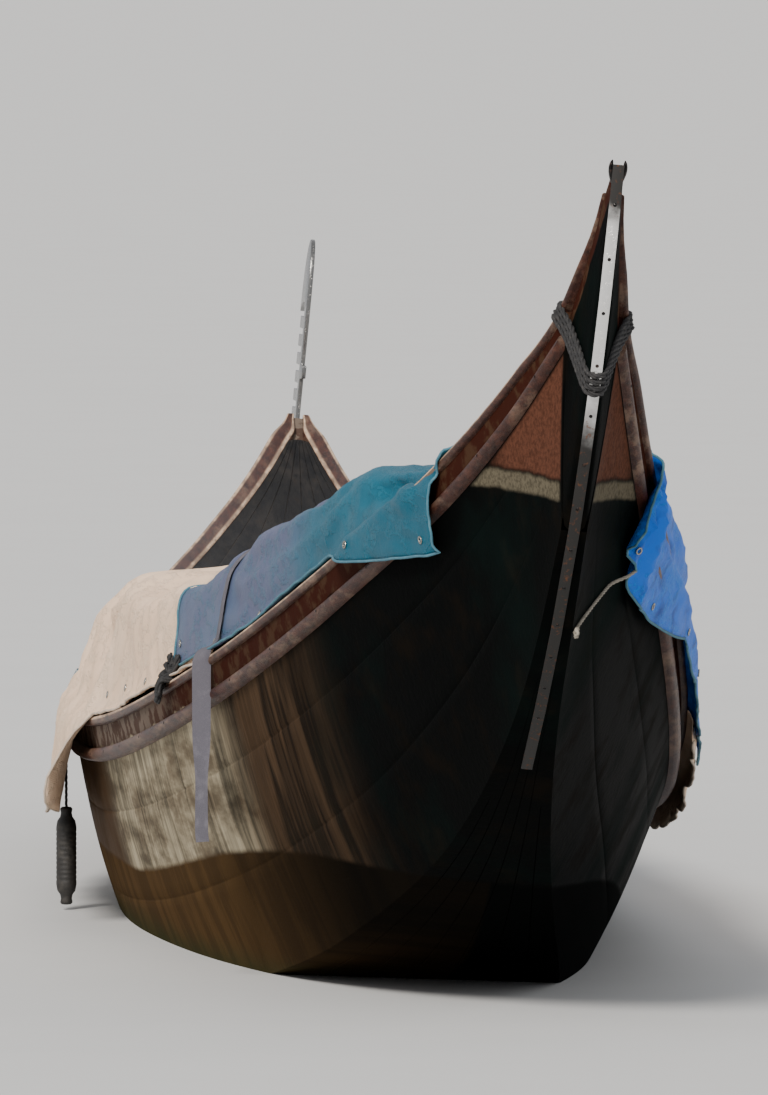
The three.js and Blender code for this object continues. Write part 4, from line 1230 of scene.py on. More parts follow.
@dataclass
class Edging:
    """Top rails and rub strakes, rounded by hand and use."""

    form: HullForm
    finishes: Finishes
    studs: StudTrees
    rings: int = 360
    taper: float = 0.14  # over which the rails slim down to their ends
    least: float = 0.45
    nail_every: float = 0.36

    def build(self) -> list[Object]:
        """The rails and strakes of both sides."""
        return [piece for side in Side for piece in (self.rail(side), *self.strake(side))]

    def rail(self, side: Side) -> Object:
        """One top rail, crowned and rounded on its outer edge."""
        known = self.form.rails[side][0]
        ys = np.linspace(known.min(), known.max(), self.rings)
        inner, outer, low, high = self.form.rail(side, ys).T
        slim = self.least + (1 - self.least) * ease(np.minimum(ys - ys[0], ys[-1] - ys), 0.0, self.taper)
        middle = (inner + outer) / 2
        inner, outer = middle + (inner - middle) * slim, middle + (outer - middle) * slim
        wide, tall = outer - inner, (high - low) * slim
        profile = (  # across and up as shares, then how rubbed
            (0.0, 0.0, 0.1), (0.0, 0.5, 0.2), (0.0, 0.80, 0.6), (0.05, 0.93, 1.0), (0.16, 0.985, 0.8),
            (0.4, 1.0, 0.3), (0.62, 0.995, 0.35), (0.8, 0.965, 0.8), (0.91, 0.88, 1.0), (0.975, 0.74, 1.0),
            (1.0, 0.52, 0.7), (0.99, 0.25, 0.35), (0.95, 0.06, 0.2), (0.88, 0.0, 0.1),
        )
        uneven = 0.0015 * rough(np.stack([ys, ys * 0, ys * 0], axis=-1), 0.4, 3.0 * side.value)
        rings = np.array([
            np.stack([side.value * (inner + u * wide) + uneven, ys, low + v * tall + uneven * 0.6], axis=-1)
            for u, v, _ in profile
        ]).transpose(1, 0, 2)
        rubbed = np.tile([e for *_, e in profile], (len(ys), 1))
        piece = tube(f"rail_{side.label}", rings, 60, edge=rubbed)
        nodes = [f"rail_{side.label}_{part}" for part in LENGTHS]
        return settle(piece, self.finishes.rail, "worn_wood", *nodes)

    def strake(self, side: Side) -> list[Object]:
        """One rub strake, half round on its outer face, and its nails."""
        node = f"strake_{side.label}"
        rows = rings_of(node)
        known = np.array(sorted(rows))
        ys = np.linspace(known.min(), known.max(), self.rings)
        inner, outer, low, high = smooth(known, spans([rows[y] for y in known]), ys).T
        profile = (
            (0.0, 0.0, 0.1), (0.45, 0.02, 0.4), (0.78, 0.13, 0.9), (0.95, 0.32, 1.0), (1.0, 0.5, 0.9),
            (0.95, 0.68, 1.0), (0.78, 0.87, 0.9), (0.45, 0.98, 0.4), (0.0, 1.0, 0.1),
        )
        rings = np.array([
            np.stack([side.value * (inner + u * (outer - inner)), ys, low + v * (high - low)], axis=-1)
            for u, v, _ in profile
        ]).transpose(1, 0, 2)
        rubbed = np.tile([0.6 * e for *_, e in profile], (len(ys), 1))
        piece = tube(node.replace("strake", "rub_strake"), rings, 60, edge=rubbed)
        line = afloat(np.stack([side.value * (outer - 0.0004), ys, (low + high) / 2], axis=-1)[4:-4])
        away = np.repeat(afloat(np.array([[side.value, 0.0, 0.0]])), len(line), axis=0)
        name = node.replace("strake", "strake_nails")
        nails = self.studs.along(name, line, away, StudShape.NAIL, self.nail_every, 0.0035, self.finishes.dark_iron)
        return [settle(piece, self.finishes.rail, "worn_wood", node), settle(nails, self.finishes.dark_iron, "iron")]


@dataclass
class Decks:
    """The cambered end decks and what stands on them."""

    form: HullForm
    finishes: Finishes
    rise: float = 0.006
    camber: float = 0.062
    flat_beam: float = 0.700
    thick: float = 0.016
    from_rail: float = 0.0464
    planks: int = 8
    stands: tuple[tuple[str, str, float], ...] = (  # node, piece and how far its edges are rounded
        ("standing_platform", "rower_platform", 0.004),
        ("forcola_block", "rowlock_block", 0.005),
    )

    def build(self) -> list[Object]:
        """Both decks, the standing platform and the rowlock block."""
        return [
            settle(self.deck("deck_aft", STERN_END, SCARFS[0]), self.finishes.deck, "black_paint", "aft_deck"),
            settle(self.deck("deck_fore", SCARFS[1], BOW_END), self.finishes.deck, "black_paint", "foredeck"),
            *(
                settle(softened(node, name, rounded), self.finishes.inner, "inner_wood", node)
                for node, name, rounded in self.stands
            ),
        ]

    def deck(self, name: str, start: float, stop: float) -> Object:
        """One planked deck from rail to rail."""
        ys = np.linspace(start, stop, 150)
        left, right = (self.form.skin(side, ys, [1.0])[:, 0, 0] for side in Side)
        left, right = left + self.from_rail, right - self.from_rail
        marks = {(k + u) / self.planks for k in range(self.planks + 1) for u in (-0.05, 0.0, 0.05, 0.5)}
        across = np.array(sorted({min(max(u, 0.0), 1.0) for u in marks}))
        seams = np.where(np.isclose(across * self.planks % 1, 0.0) & (across > 0) & (across < 1), 0.002, 0.0)
        crown = self.camber * np.minimum(1, (right - left) / self.flat_beam)
        x = left[:, None] + (right - left)[:, None] * across
        y = np.repeat(ys[:, None], len(across), axis=1)
        z = self.form.sheer(ys)[:, None] + self.rise + crown[:, None] * (1 - (2 * across - 1) ** 2)
        upper = np.stack([x, y, z + self.thick - seams], axis=-1)
        lower = np.stack([x, y, z], axis=-1)
        rings = np.concatenate([lower, upper[:, ::-1]], axis=1)
        edge = np.concatenate([np.zeros(len(across)), np.where(seams[::-1] > 0, 0.9, 0.0)])
        return tube(name, rings, 35, edge=np.tile(edge, (len(ys), 1)))


@dataclass
class Inside:
    """Timbers, floor, seats and chairs under the covers."""

    finishes: Finishes
    rounded: float = 0.004

    def build(self) -> list[Object]:
        """Every rigid piece inside the hull."""
        wood = [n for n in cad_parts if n.split("_")[0] in ("inwale", "bulkhead", "rib", "thwart", "cockpit")]
        made = [self.timber(node, self.finishes.inner, "inner_wood") for node in wood]
        for node in ("seat_frame", "seat_back", "chair_port", "chair_starboard"):
            made.append(self.timber(node, self.finishes.deck, "black_paint"))
        return made

    def timber(self, node: str, material: Material, slot: str) -> Object:
        """One timber with its edges eased."""
        return settle(softened(node, f"{node}_wood", self.rounded), material, slot, node)


# ---------------------------------------------------------------- covers


def wrapped(tree: BVHTree, centre: np.ndarray, start: float, stop: float, count: int) -> np.ndarray:
    """The outer line of a surface round a centre, in one plane across the boat.

    Args:
        tree: the surface.
        centre: an upright point inside it.
        start: angle of the first ray, from 0 at starboard over 90 degrees straight up.
        stop: angle of the last.
        count: how many rays.

    Returns:
        The upright points where rays from outside meet the surface, without those that miss.
    """
    found = []
    for angle in np.linspace(start, stop, count):
        out = np.array([math.cos(angle), 0.0, math.sin(angle)])
        found.append(met(tree, centre + out * 2.0, -out, 1.98))
    return np.array([hit for hit in found if hit is not None])


@dataclass(frozen=True)
class Drape:
    """Settles a sheet over its supports by cloth simulation."""

    every: float = 0.042
    columns: int = 62
    frames: int = 24
    quality: int = 6
    stiff: float = 14.0
    bend: float = 1.6
    limit: float = 0.050
    sag: float = 0.040
    hoops: float = 0.85  # distance between the supports across the boat
    eyelets: float = 0.42

    def form(
        self, base: np.ndarray, out: np.ndarray, across: np.ndarray, seed: float, give: float | np.ndarray
    ) -> np.ndarray:
        """What the sheet lies on: close under it at the ridge, the hoops and the rails, lower between them."""
        y = base[..., 1]
        phase = np.abs((y + 0.13 * seed) / self.hoops % 1.0 - 0.5) * 2  # 1 at a hoop
        hoop = ease(phase, 0.62, 0.95)
        ridge = ease(np.abs(across) * np.ones_like(y), 0.14, 0.03)
        shoulder = ease(np.abs(across) * np.ones_like(y), 0.62, 0.78)
        held = np.maximum(np.maximum(hoop, ridge), shoulder)
        return base - out * (0.005 + self.sag * give * (1 - held))[..., None]

    def settle(self, name: str, start: np.ndarray, form: np.ndarray, held: np.ndarray) -> np.ndarray:
        """Runs the simulation.

        Args:
            name: the sheet's name.
            start: the sheet's upright grid with its slack in it.
            form: the upright grid that it lies on.
            held: from 0, free, to 1, tied down, for each point.

        Returns:
            The settled upright grid.
        """
        scene = bpy.context.scene
        cloth_piece, form_piece = (
            mesh_piece(f"{name} {part}", afloat(grid.reshape(-1, 3)), grid_faces(grid))
            for part, grid in (("draped", start), ("form", form))
        )
        group = cloth_piece.vertex_groups.new(name="held")
        for index, weight in enumerate(held.ravel()):
            if weight > 0:
                group.add([index], float(weight), "REPLACE")
        form_piece.modifiers.new("solid", "COLLISION")
        form_piece.collision.thickness_outer = 0.003
        form_piece.collision.cloth_friction = 12.0
        cloth = cloth_piece.modifiers.new("cloth", "CLOTH")
        made = cloth.settings
        made.quality, made.mass, made.air_damping = self.quality, 0.4, 2.0
        made.tension_stiffness = made.compression_stiffness = self.stiff
        made.shear_stiffness, made.bending_stiffness = self.stiff * 0.4, self.bend
        made.vertex_group_mass, made.pin_stiffness = "held", 8.0
        cloth.collision_settings.distance_min = 0.003
        cloth.collision_settings.use_self_collision = False
        cloth.point_cache.frame_start, cloth.point_cache.frame_end = 1, self.frames
        for number in range(1, self.frames + 1):
            scene.frame_set(number)
        graph = bpy.context.evaluated_depsgraph_get()
        settled = cloth_piece.evaluated_get(graph).to_mesh()
        points = np.empty(len(settled.vertices) * 3)
        settled.vertices.foreach_get("co", points)
        cloth_piece.evaluated_get(graph).to_mesh_clear()
        for piece in (cloth_piece, form_piece):
            bpy.data.objects.remove(piece)
        scene.frame_set(1)
        moved = upright(points.reshape(start.shape)) - start
        far = np.linalg.norm(moved, axis=2, keepdims=True)
        log.info("%s: cloth moved %.0f mm at most, %.0f mm on average", name, far.max() * 1000, far.mean() * 1000)
        return start + moved * np.minimum(1.0, self.limit / np.maximum(far, 1e-9))


def grid_faces(grid: np.ndarray) -> list[tuple[int, int, int, int]]:
    """The faces of a grid of points, turned the way that its upper side points."""
    rows, columns, _ = grid.shape
    r, c = rows // 2, columns // 2
    one = np.cross(grid[r, c + 1] - grid[r, c], grid[r + 1, c] - grid[r, c])
    faces = [
        (r * columns + c, r * columns + c + 1, (r + 1) * columns + c + 1, (r + 1) * columns + c)
        for r in range(rows - 1)
        for c in range(columns - 1)
    ]
    return faces if one[2] > 0 else [face[::-1] for face in faces]


def regrid(grid: np.ndarray, rows: int, columns: int) -> np.ndarray:
    """A grid of points with other numbers of rows and columns, on the same smooth surface."""
    longer = smooth(range(len(grid)), grid, np.linspace(0, len(grid) - 1, rows)).transpose(1, 0, 2)
    places = np.linspace(0, len(longer) - 1, columns)
    return smooth(range(len(longer)), longer, places).transpose(1, 0, 2)


@dataclass
class Cover:
    """A sheet over the open boat or the deck, with its folds, hem rope and eyelets."""

    node: str
    name: str
    slot: str
    cut: tuple[float, float]
    form: HullForm
    material: Material
    piping: Material
    eyelets: Material
    studs: StudTrees
    seed: float = 0.0
    folds: float = 0.016
    wrinkles: float = 0.004
    fan_depth: float = 0.016
    every: float = 0.020
    columns: int = 128
    sweep: tuple[float, float] = (math.radians(228), math.radians(-48))  # from under the port rail to starboard
    rays: int = 420
    thick: float = 0.0018
    hem_rope: float = 0.0032
    eyelet_size: float = 0.0075
    proud: float = 0.014  # how far the settled sheet may stand off the solid's outside
    dip_at: float = -2.55  # the covers sink a little where the blue one laps the cream one
    dip_reach: float = 0.36
    dip: float = 0.024
    over: float = 0.009  # how far it lies over the next cover
    hem_inset: int = 4
    port_corner: float = 0.0  # how far forward of the others the aft port corner lies
    starboard_corner: float = 0.0  # how far aft the starboard one is pulled
    hidden_end: bool = False  # whether another cover laps its aft end
    flap: tuple[float, float, float] | None = None  # between which places its port hem hangs deeper, and how deep
    lap: float = 0.0  # how far its fore end lies over the next cover
    under: Object | None = None  # the next cover
    drape: Drape = field(default_factory=Drape)
    rests_on: tuple[str, ...] = ("rail_port", "rail_starboard")
    grid: np.ndarray = field(default_factory=lambda: np.zeros((0, 0, 3)))

    def build(self) -> Object:
        """The sheet with its hem and eyelets."""
        self.grid = self.wrinkled(self.settled(self.base()))
        sheet = self.sheet()
        hem = self.hem()
        rings = self.eyelet_line()
        settle(sheet, self.material, self.slot, self.node)
        settle(hem, self.piping, self.slot)
        for piece in rings:
            settle(piece, self.eyelets, "iron")
        area, width, length = self.measure()
        log.info("%s: %.2f m wide, %.2f m long, %.2f square metres", self.name, width, length, area)
        return sheet

    def base(self) -> np.ndarray:
        """The smooth upright surface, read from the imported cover."""
        own = surface_of(self.node)
        next_cover = surface_of(self.under.name) if self.under else own
        low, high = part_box(self.node)
        end = high[1] - 0.002 + self.lap
        ys = np.linspace(low[1] + 0.002, end, max(12, int((end - low[1]) / self.every)))
        rows = []
        for y in ys:
            lapped = self.lap and y > high[1] - 0.002
            tree = next_cover if lapped else own
            outer = [self.form.rail(side, [y])[0, 1] * side.value for side in Side]
            centre = np.array([sum(outer) / 2, y, self.form.sheer([y])[0] + 0.012])
            line = wrapped(tree, centre, *self.sweep, self.rays)
            if len(line) < self.columns:
                continue
            if self.flap and self.flap[0] < y < self.flap[1]:
                down = unit(line[0] - line[8])
                drop = min(0.0, (self.form.sheer([y])[0] - self.flap[2]) - line[0, 2])
                steps = np.linspace(1.0, 0.0, 40, endpoint=False)[:, None]
                line = np.concatenate([line[0] + steps * down * (drop / down[2]), line])
            if lapped:
                line = (line + self.over * unit(line - centre))[self.hem_inset:-self.hem_inset]
            rows.append(spaced(line, self.columns))
        grid = np.array(rows)
        across = np.abs(np.linspace(-1.0, 1.0, self.columns))
        if self.lap:
            rising = ease(grid[..., 1], high[1] - 0.16, high[1] - 0.05) * (grid[..., 1] <= high[1] - 0.002)
            grid += self.normals(grid) * (self.over * rising)[..., None]
        if self.hidden_end:
            sinking = ease(grid[..., 1], low[1] + 0.14, low[1] + 0.02)
            grid -= self.normals(grid) * (self.over * sinking)[..., None]
        for row in grid:
            if not (self.lap and row[0, 1] > high[1] - 0.002):
                row[:, 2] -= self.dip * math.exp(-(((row[0, 1] - self.dip_at) / self.dip_reach) ** 2)) * (1 - across**3)
        for _ in range(6):
            inner = grid.copy()
            inner[1:-1] = grid[1:-1] * 0.5 + (grid[:-2] + grid[2:]) * 0.25
            inner[:, 1:-1] = inner[:, 1:-1] * 0.6 + (inner[:, :-2] + inner[:, 2:]) * 0.2
            grid = inner
        return self.skewed(grid)

    def skewed(self, grid: np.ndarray) -> np.ndarray:
        """The surface with the corners of its aft edge drawn forward or aft along the boat."""
        across = np.linspace(-1.0, 1.0, self.columns)
        shift = self.port_corner * ease(-across, 0.3, 0.95) - self.starboard_corner * ease(across, 0.35, 1.0)
        start = grid[0, 0, 1]
        made = grid.copy()
        for c, by in enumerate(shift):
            y = grid[:, c, 1]
            wanted = y + by * ease(y, start + 0.8, start)
            for axis in (0, 2):
                slope = (grid[3, c, axis] - grid[0, c, axis]) / (y[3] - y[0])
                inside = np.interp(wanted, y, grid[:, c, axis])
                made[:, c, axis] = np.where(wanted < y[0], grid[0, c, axis] + slope * (wanted - y[0]), inside)
            made[:, c, 1] = wanted
        return made

    def settled(self, base: np.ndarray) -> np.ndarray:
        folded = self.folded(base)
        rows = max(12, int(np.ptp(base[:, 0, 1]) / self.drape.every))
        shape = (rows, self.drape.columns)
        coarse, start = regrid(base, *shape), regrid(folded, *shape)
        across = np.linspace(-1.0, 1.0, self.drape.columns)[None, :]
        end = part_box(self.node)[1][1]
        sag = ease(coarse[..., 1], end, end - 0.15) if self.lap else 1.0
        form = self.drape.form(coarse, self.normals(coarse), across, self.seed, sag)
        held = np.zeros(shape)
        tied = np.abs(coarse[:, 0, 1] / self.drape.eyelets % 1.0 - 0.5) * 2 > 0.82
        for column, rests in zip((0, -1), self.resting(coarse)):
            held[:, column] = np.where(tied | rests, 1.0, 0.15)
        held[0, :] = held[-1, :] = 0.6
        held[self.lapped(coarse)] = 1.0
        made = self.drape.settle(self.name, start, form, held)
        out = self.normals(coarse)
        room = 0.003 + self.proud * ease(np.abs(across), 0.95, 0.65)
        proud = ((made - coarse) * out).sum(axis=2)
        made -= out * np.maximum(proud - room, 0.0)[..., None]
        return regrid(made, *base.shape[:2])

    def resting(self, grid: np.ndarray) -> list[np.ndarray]:
        """Where the port and the starboard hem lie on their rails, for each row."""
        found = []
        for side, column in ((Side.PORT, 0), (Side.STARBOARD, -1)):
            high = self.form.rail(side, grid[:, column, 1])[:, 3]
            found.append(grid[:, column, 2] > high - 0.02)
        return found

    def lapped(self, grid: np.ndarray) -> np.ndarray:
        """Which rows lie on the next cover."""
        return grid[:, grid.shape[1] // 2, 1] > (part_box(self.node)[1][1] - 0.08 if self.lap else 1e3)

    def wrinkled(self, grid: np.ndarray) -> np.ndarray:
        """The sheet with its small wrinkles."""
        flat = np.stack([grid[..., 1], np.cumsum(np.ones_like(grid[..., 1]) * 0.02, axis=1), 0 * grid[..., 1]], axis=-1)
        small = rough(flat, 0.085, self.seed + 5) + 0.5 * rough(flat, 0.04, self.seed + 6)
        lift = self.wrinkles * small
        if self.starboard_corner:
            lift += self.fan(grid)
        return grid + self.normals(grid) * lift[..., None]

    def fan(self, grid: np.ndarray) -> np.ndarray:
        """Folds that fan out from where the aft edge crosses the starboard rail."""
        high = self.form.rail(Side.STARBOARD, grid[:1, -1, 1])[0, 3]
        half = grid.shape[1] // 2
        column = half + int(np.abs(grid[0, half:, 2] - high).argmin())
        apex = grid[0, column]
        away, down = grid[..., 1] - apex[1], apex[2] - grid[..., 2]
        angle = np.arctan2(away, np.maximum(down, 1e-3))
        reach = np.hypot(away, down)
        beyond = ease(np.arange(grid.shape[1]) - column, 0.0, 6.0)
        folds = 1.0 - 2.2 * np.abs(np.sin(angle * 5.5 + 1.2 * np.sin(3.0 * angle + 0.6)))
        return self.fan_depth * folds * beyond * ease(reach, 0.02, 0.20) * ease(reach, 0.75, 0.45)

    def normals(self, grid: np.ndarray) -> np.ndarray:
        """The way out of the sheet at each grid point."""
        out = unit(np.cross(np.gradient(grid, axis=0), np.gradient(grid, axis=1)))
        return out if out[len(out) // 2, out.shape[1] // 2, 2] > 0 else -out

    def folded(self, grid: np.ndarray) -> np.ndarray:
        """The surface with broad folds, creases and the waves of its hem."""
        out = self.normals(grid)
        across = np.linspace(-1.0, 1.0, self.columns)[None, :]
        girth = np.linalg.norm(np.diff(grid, axis=1), axis=2).sum(axis=1)[:, None]
        s = across * girth / 2
        y = grid[..., 1]
        drift = 0.25 * rough(np.stack([y, s, 0 * y], axis=-1), 0.9, self.seed)
        cords = np.stack([y + drift + 0.22 * s, 0.22 * s, 0 * y], axis=-1)
        long_folds = 1 - np.abs(rough(cords, 0.30, self.seed + 3)) * 2.6
        slanted = np.stack([y - 0.5 * s + drift, 0.4 * (s + 0.5 * y), 0 * y], axis=-1)
        pulls = 1 - np.abs(rough(slanted, 0.24, self.seed + 9)) * 2.6
        edge = 0.35 + 0.65 * np.abs(across) ** 1.5
        depth = self.folds * (edge * long_folds + 0.55 * pulls)
        depth = np.where(np.abs(across) > 0.8, np.maximum(depth, 0.0), depth) - self.folds * 0.45
        port, starboard = self.resting(grid)
        rests = np.where(across < 0, port[:, None], starboard[:, None])
        calm = np.where(rests, ease(np.abs(across) * np.ones_like(y), 0.78, 0.96), 0.0)
        calm = np.maximum(calm, self.lapped(grid)[:, None])
        return grid + out * (depth * (1 - calm))[..., None]

    def sheet(self) -> Object:
        """The sheet as one thin shell with a flat map in metres."""
        rows, columns, _ = self.grid.shape
        piece = mesh_piece(self.name, afloat(self.grid.reshape(-1, 3)), grid_faces(self.grid), 80)
        across, along = np.zeros((rows, columns)), np.zeros((rows, columns))
        across[:, 1:] = np.cumsum(np.linalg.norm(np.diff(self.grid, axis=1), axis=2), axis=1)
        along[1:] = np.cumsum(np.linalg.norm(np.diff(self.grid, axis=0), axis=2), axis=0)
        lay_flat(piece, np.stack([across, along], axis=-1))
        shell = piece.modifiers.new("thickness", "SOLIDIFY")
        shell.thickness, shell.offset = self.thick, -1.0
        return piece

    def measure(self) -> tuple[float, float, float]:
        """The sheet's area, widest girth and length."""
        a = self.grid[1:, :-1] - self.grid[:-1, :-1]
        b = self.grid[:-1, 1:] - self.grid[:-1, :-1]
        area = float(np.linalg.norm(np.cross(a, b), axis=2).sum())
        width = float(np.linalg.norm(np.diff(self.grid, axis=1), axis=2).sum(axis=1).max())
        length = float(np.linalg.norm(np.diff(self.grid, axis=0), axis=2).sum(axis=0).max())
        return area, width, length

    def hem(self) -> Object:
        """The rope that is sewn into the sheet's edge, all round it."""
        grid, out = self.grid, self.normals(self.grid)
        edge = np.concatenate([grid[:, 0], grid[-1, 1:], grid[-2::-1, -1]])
        away = np.concatenate([out[:, 0], out[-1, 1:], out[-2::-1, -1]])
        if not self.hidden_end:
            edge, away = np.concatenate([edge, grid[0, -2:0:-1]]), np.concatenate([away, out[0, -2:0:-1]])
        path = afloat(edge + away * self.hem_rope * 0.4)
        ahead = np.gradient(path, axis=0) if self.hidden_end else np.roll(path, -1, axis=0) - np.roll(path, 1, axis=0)
        up = afloat(away)
        rings = hoops_round(path, unit(np.cross(unit(ahead), up)), up, self.hem_rope, 8)
        return tube(f"{self.name}_hem", upright(rings), 70, closed=not self.hidden_end)

    def eyelet_line(self) -> list[Object]:
        """Eyelets along both hems."""
        made = []
        out = self.normals(self.grid)
        for side, column in ((Side.PORT, 4), (Side.STARBOARD, -5)):
            line = afloat(self.grid[3:-3, column] + out[3:-3, column] * 0.0015)
            away = afloat(out[3:-3, column])
            name = f"{self.name}_eyelets_{side.label}"
            size = self.eyelet_size
            made.append(self.studs.along(name, line, away, StudShape.EYELET, self.drape.eyelets, size, self.eyelets))
        return made


@dataclass
class Covers:
    """The three covers that lie over the boat."""

    form: HullForm
    finishes: Finishes
    studs: StudTrees

    def build(self) -> list[Object]:
        """The blue, the cream and the violet cover."""
        f = self.finishes
        plan = (
            ("cover_main", "cream_cover", "cover_cream", (2.50, 4.50), f.cream, f.cream_piping, 21.0, 0.0, 0.0, 0.0),
            ("cover_aft", "blue_cover", "cover_blue", (1.85, 2.60), f.blue, f.piping, 4.0, 0.10, 0.09, 0.42),
            ("cover_fore", "violet_cover", "cover_violet", (1.85, 1.80), f.violet, f.piping, 12.0, 0.0, 0.0, 0.0),
        )
        made: list[Object] = []
        for node, name, slot, cut, material, piping, seed, port, starboard, lap in plan:
            made.append(Cover(
                node, name, slot, cut, self.form, material, piping, f.eyelet, self.studs, seed=seed,
                port_corner=port, starboard_corner=starboard, lap=lap, under=made[0] if lap else None,
                hidden_end=name == "cream_cover", flap=(-0.86, 0.30, 0.215) if name == "cream_cover" else None,
            ).build())
        return made


# ---------------------------------------------------------------- soft and small pieces


@dataclass
class Strap:
    """The webbing that lies over the blue cover and hangs plumb outside the port rail."""

    form: HullForm
    finishes: Finishes
    y: float = -2.89
    wide: float = 0.044
    thick: float = 0.0026
    turn: float = math.radians(70)
    turn_long: float = 0.05
    back: float = math.radians(34)  # how far it has turned back at its foot
    back_from: float = 0.20  # how far under the rail it starts to turn back
    back_long: float = 0.14

    def build(self) -> Object:
        """The strap."""
        centre = np.array([-0.05, self.y, self.form.sheer([self.y])[0] + 0.01])
        start, edge, end = math.radians(58), math.radians(176), math.radians(265)
        lying = wrapped(surface_of("blue_cover"), centre, start, edge, 400)
        lying += 0.003 * unit(lying - centre)
        hanging = wrapped(surface_of("strap_port"), centre, edge + 0.02, end, 700)
        hanging = hanging[hanging[:, 2] < self.form.rail(Side.PORT, [self.y])[0, 3]]
        line = spaced(np.concatenate([lying, hanging]), 150)
        line = eased(line, 5)
        out = np.cross(unit(np.gradient(line, axis=0)), (0.0, 1.0, 0.0))
        if out[len(out) // 3, 2] < 0:
            out = -out
        run = run_along(line)
        low = line[:, 2] < self.form.rail(Side.PORT, [self.y])[0, 3] + 0.012
        past = np.where(low, run - run[low].min() + 0.012, 0.0)
        twist = self.turn * ease(past, 0.0, self.turn_long)
        twist -= self.back * ease(past, self.back_from, self.back_from + self.back_long)
        twist += 0.06 * np.sin(run * 9.0)
        across = np.linspace(-0.5, 0.5, 7)
        side = np.stack([np.sin(twist) * out[:, 0], np.cos(twist), np.sin(twist) * out[:, 2]], axis=-1)
        near = line[:, None] + side[:, None] * (across * self.wide)[None, :, None] + out[:, None] * 0.001
        far = near + out[:, None] * self.thick
        rings = np.concatenate([near, far[:, ::-1]], axis=1)
        piece = tube("port_strap", rings, 50)
        both = np.tile(np.concatenate([across, across[::-1]]) * self.wide, (len(line), 1))
        lay_flat(piece, np.stack([both, np.repeat(run[:, None], both.shape[1], axis=1)], axis=-1))
        settle(piece, self.finishes.webbing, "strap", "strap_port")
        log.info("strap: %.3f m long", run[-1])
        return piece


@dataclass
class Fender:
    """The slim dark fender at the port beam, on its own line."""

    finishes: Finishes
    radius: float = 0.026
    long: float = 0.250
    line_radius: float = 0.004
    rings: int = 12
    neck: tuple[tuple[float, float], ...] = (  # radii and heights of the rounded end
        (0.004, 0.0), (0.012, 0.001), (0.016, 0.006), (0.014, 0.016), (0.016, 0.026), (0.023, 0.036), (0.026, 0.052),
    )

    def build(self) -> list[Object]:
        """The fender and its line."""
        low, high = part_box("fender_port")
        x, y = (low[0] + high[0]) / 2, (low[1] + high[1]) / 2
        shoulder = self.neck[-1][1]
        profile = list(self.neck)
        for k in range(1, self.rings):
            z = shoulder + (self.long - 2 * shoulder) * k / self.rings
            profile += [(self.radius, z - 0.003), (self.radius - 0.0012, z), (self.radius, z + 0.003)]
        profile += [(r, self.long - h) for r, h in reversed(self.neck)]
        body = settle(lathe("fender_body", (x, y, low[2]), profile), self.finishes.rubber, "fender", "fender_port")
        top = np.array([x, y, high[2] - 0.004])
        foot = np.array([x, y, low[2] + 0.004])
        path = spaced(np.array([top, foot]), 24)
        line = settle(rope("fender_line", path, self.line_radius), self.finishes.dark_rope, "fender")
        return [body, line]


@dataclass
class Cushion:
    """The bench cushion under the covers, crowned with a piped edge."""

    finishes: Finishes
    crown: float = 0.018
    pulled: float = 0.012
    fill: float = 0.7

    def build(self) -> Object:
        """The cushion."""
        points = solid_points("seat_cushion")
        low, high = points.min(axis=0), points.max(axis=0)
        count = 33
        u = np.linspace(-1, 1, count)
        gx, gy = np.meshgrid(u, u, indexing="ij")
        pull = self.pulled * (1 - np.abs(gx * gy))
        middle, half = (low + high) / 2, (high - low) / 2
        x = middle[0] + gx * (half[0] - pull * (1 - gy**2) * 0.8)
        y = middle[1] + gy * (half[1] - pull * (1 - gx**2) * 0.8)
        puff = ((1 - gx**6) * (1 - gy**6)) ** 0.4
        top = middle[2] + (half[2] - self.crown) * puff + self.crown * (1 - gx**2) * (1 - gy**2)
        foot = middle[2] - half[2] * puff
        shell = [np.stack([x, y, z], axis=-1).reshape(-1, 3) for z in (top, foot)]
        faces = []
        for layer, flip in ((0, False), (1, True)):
            for i in range(count - 1):
                for j in range(count - 1):
                    a = layer * count * count + i * count + j
                    quad = (a, a + count, a + count + 1, a + 1)
                    faces.append(quad[::-1] if flip else quad)
        piece = mesh_piece("bench_cushion", afloat(np.concatenate(shell)), faces, 80)
        turn_outwards(piece, merge=True)
        settle(piece, self.finishes.cushion, "cushion", "seat_cushion")
        return piece


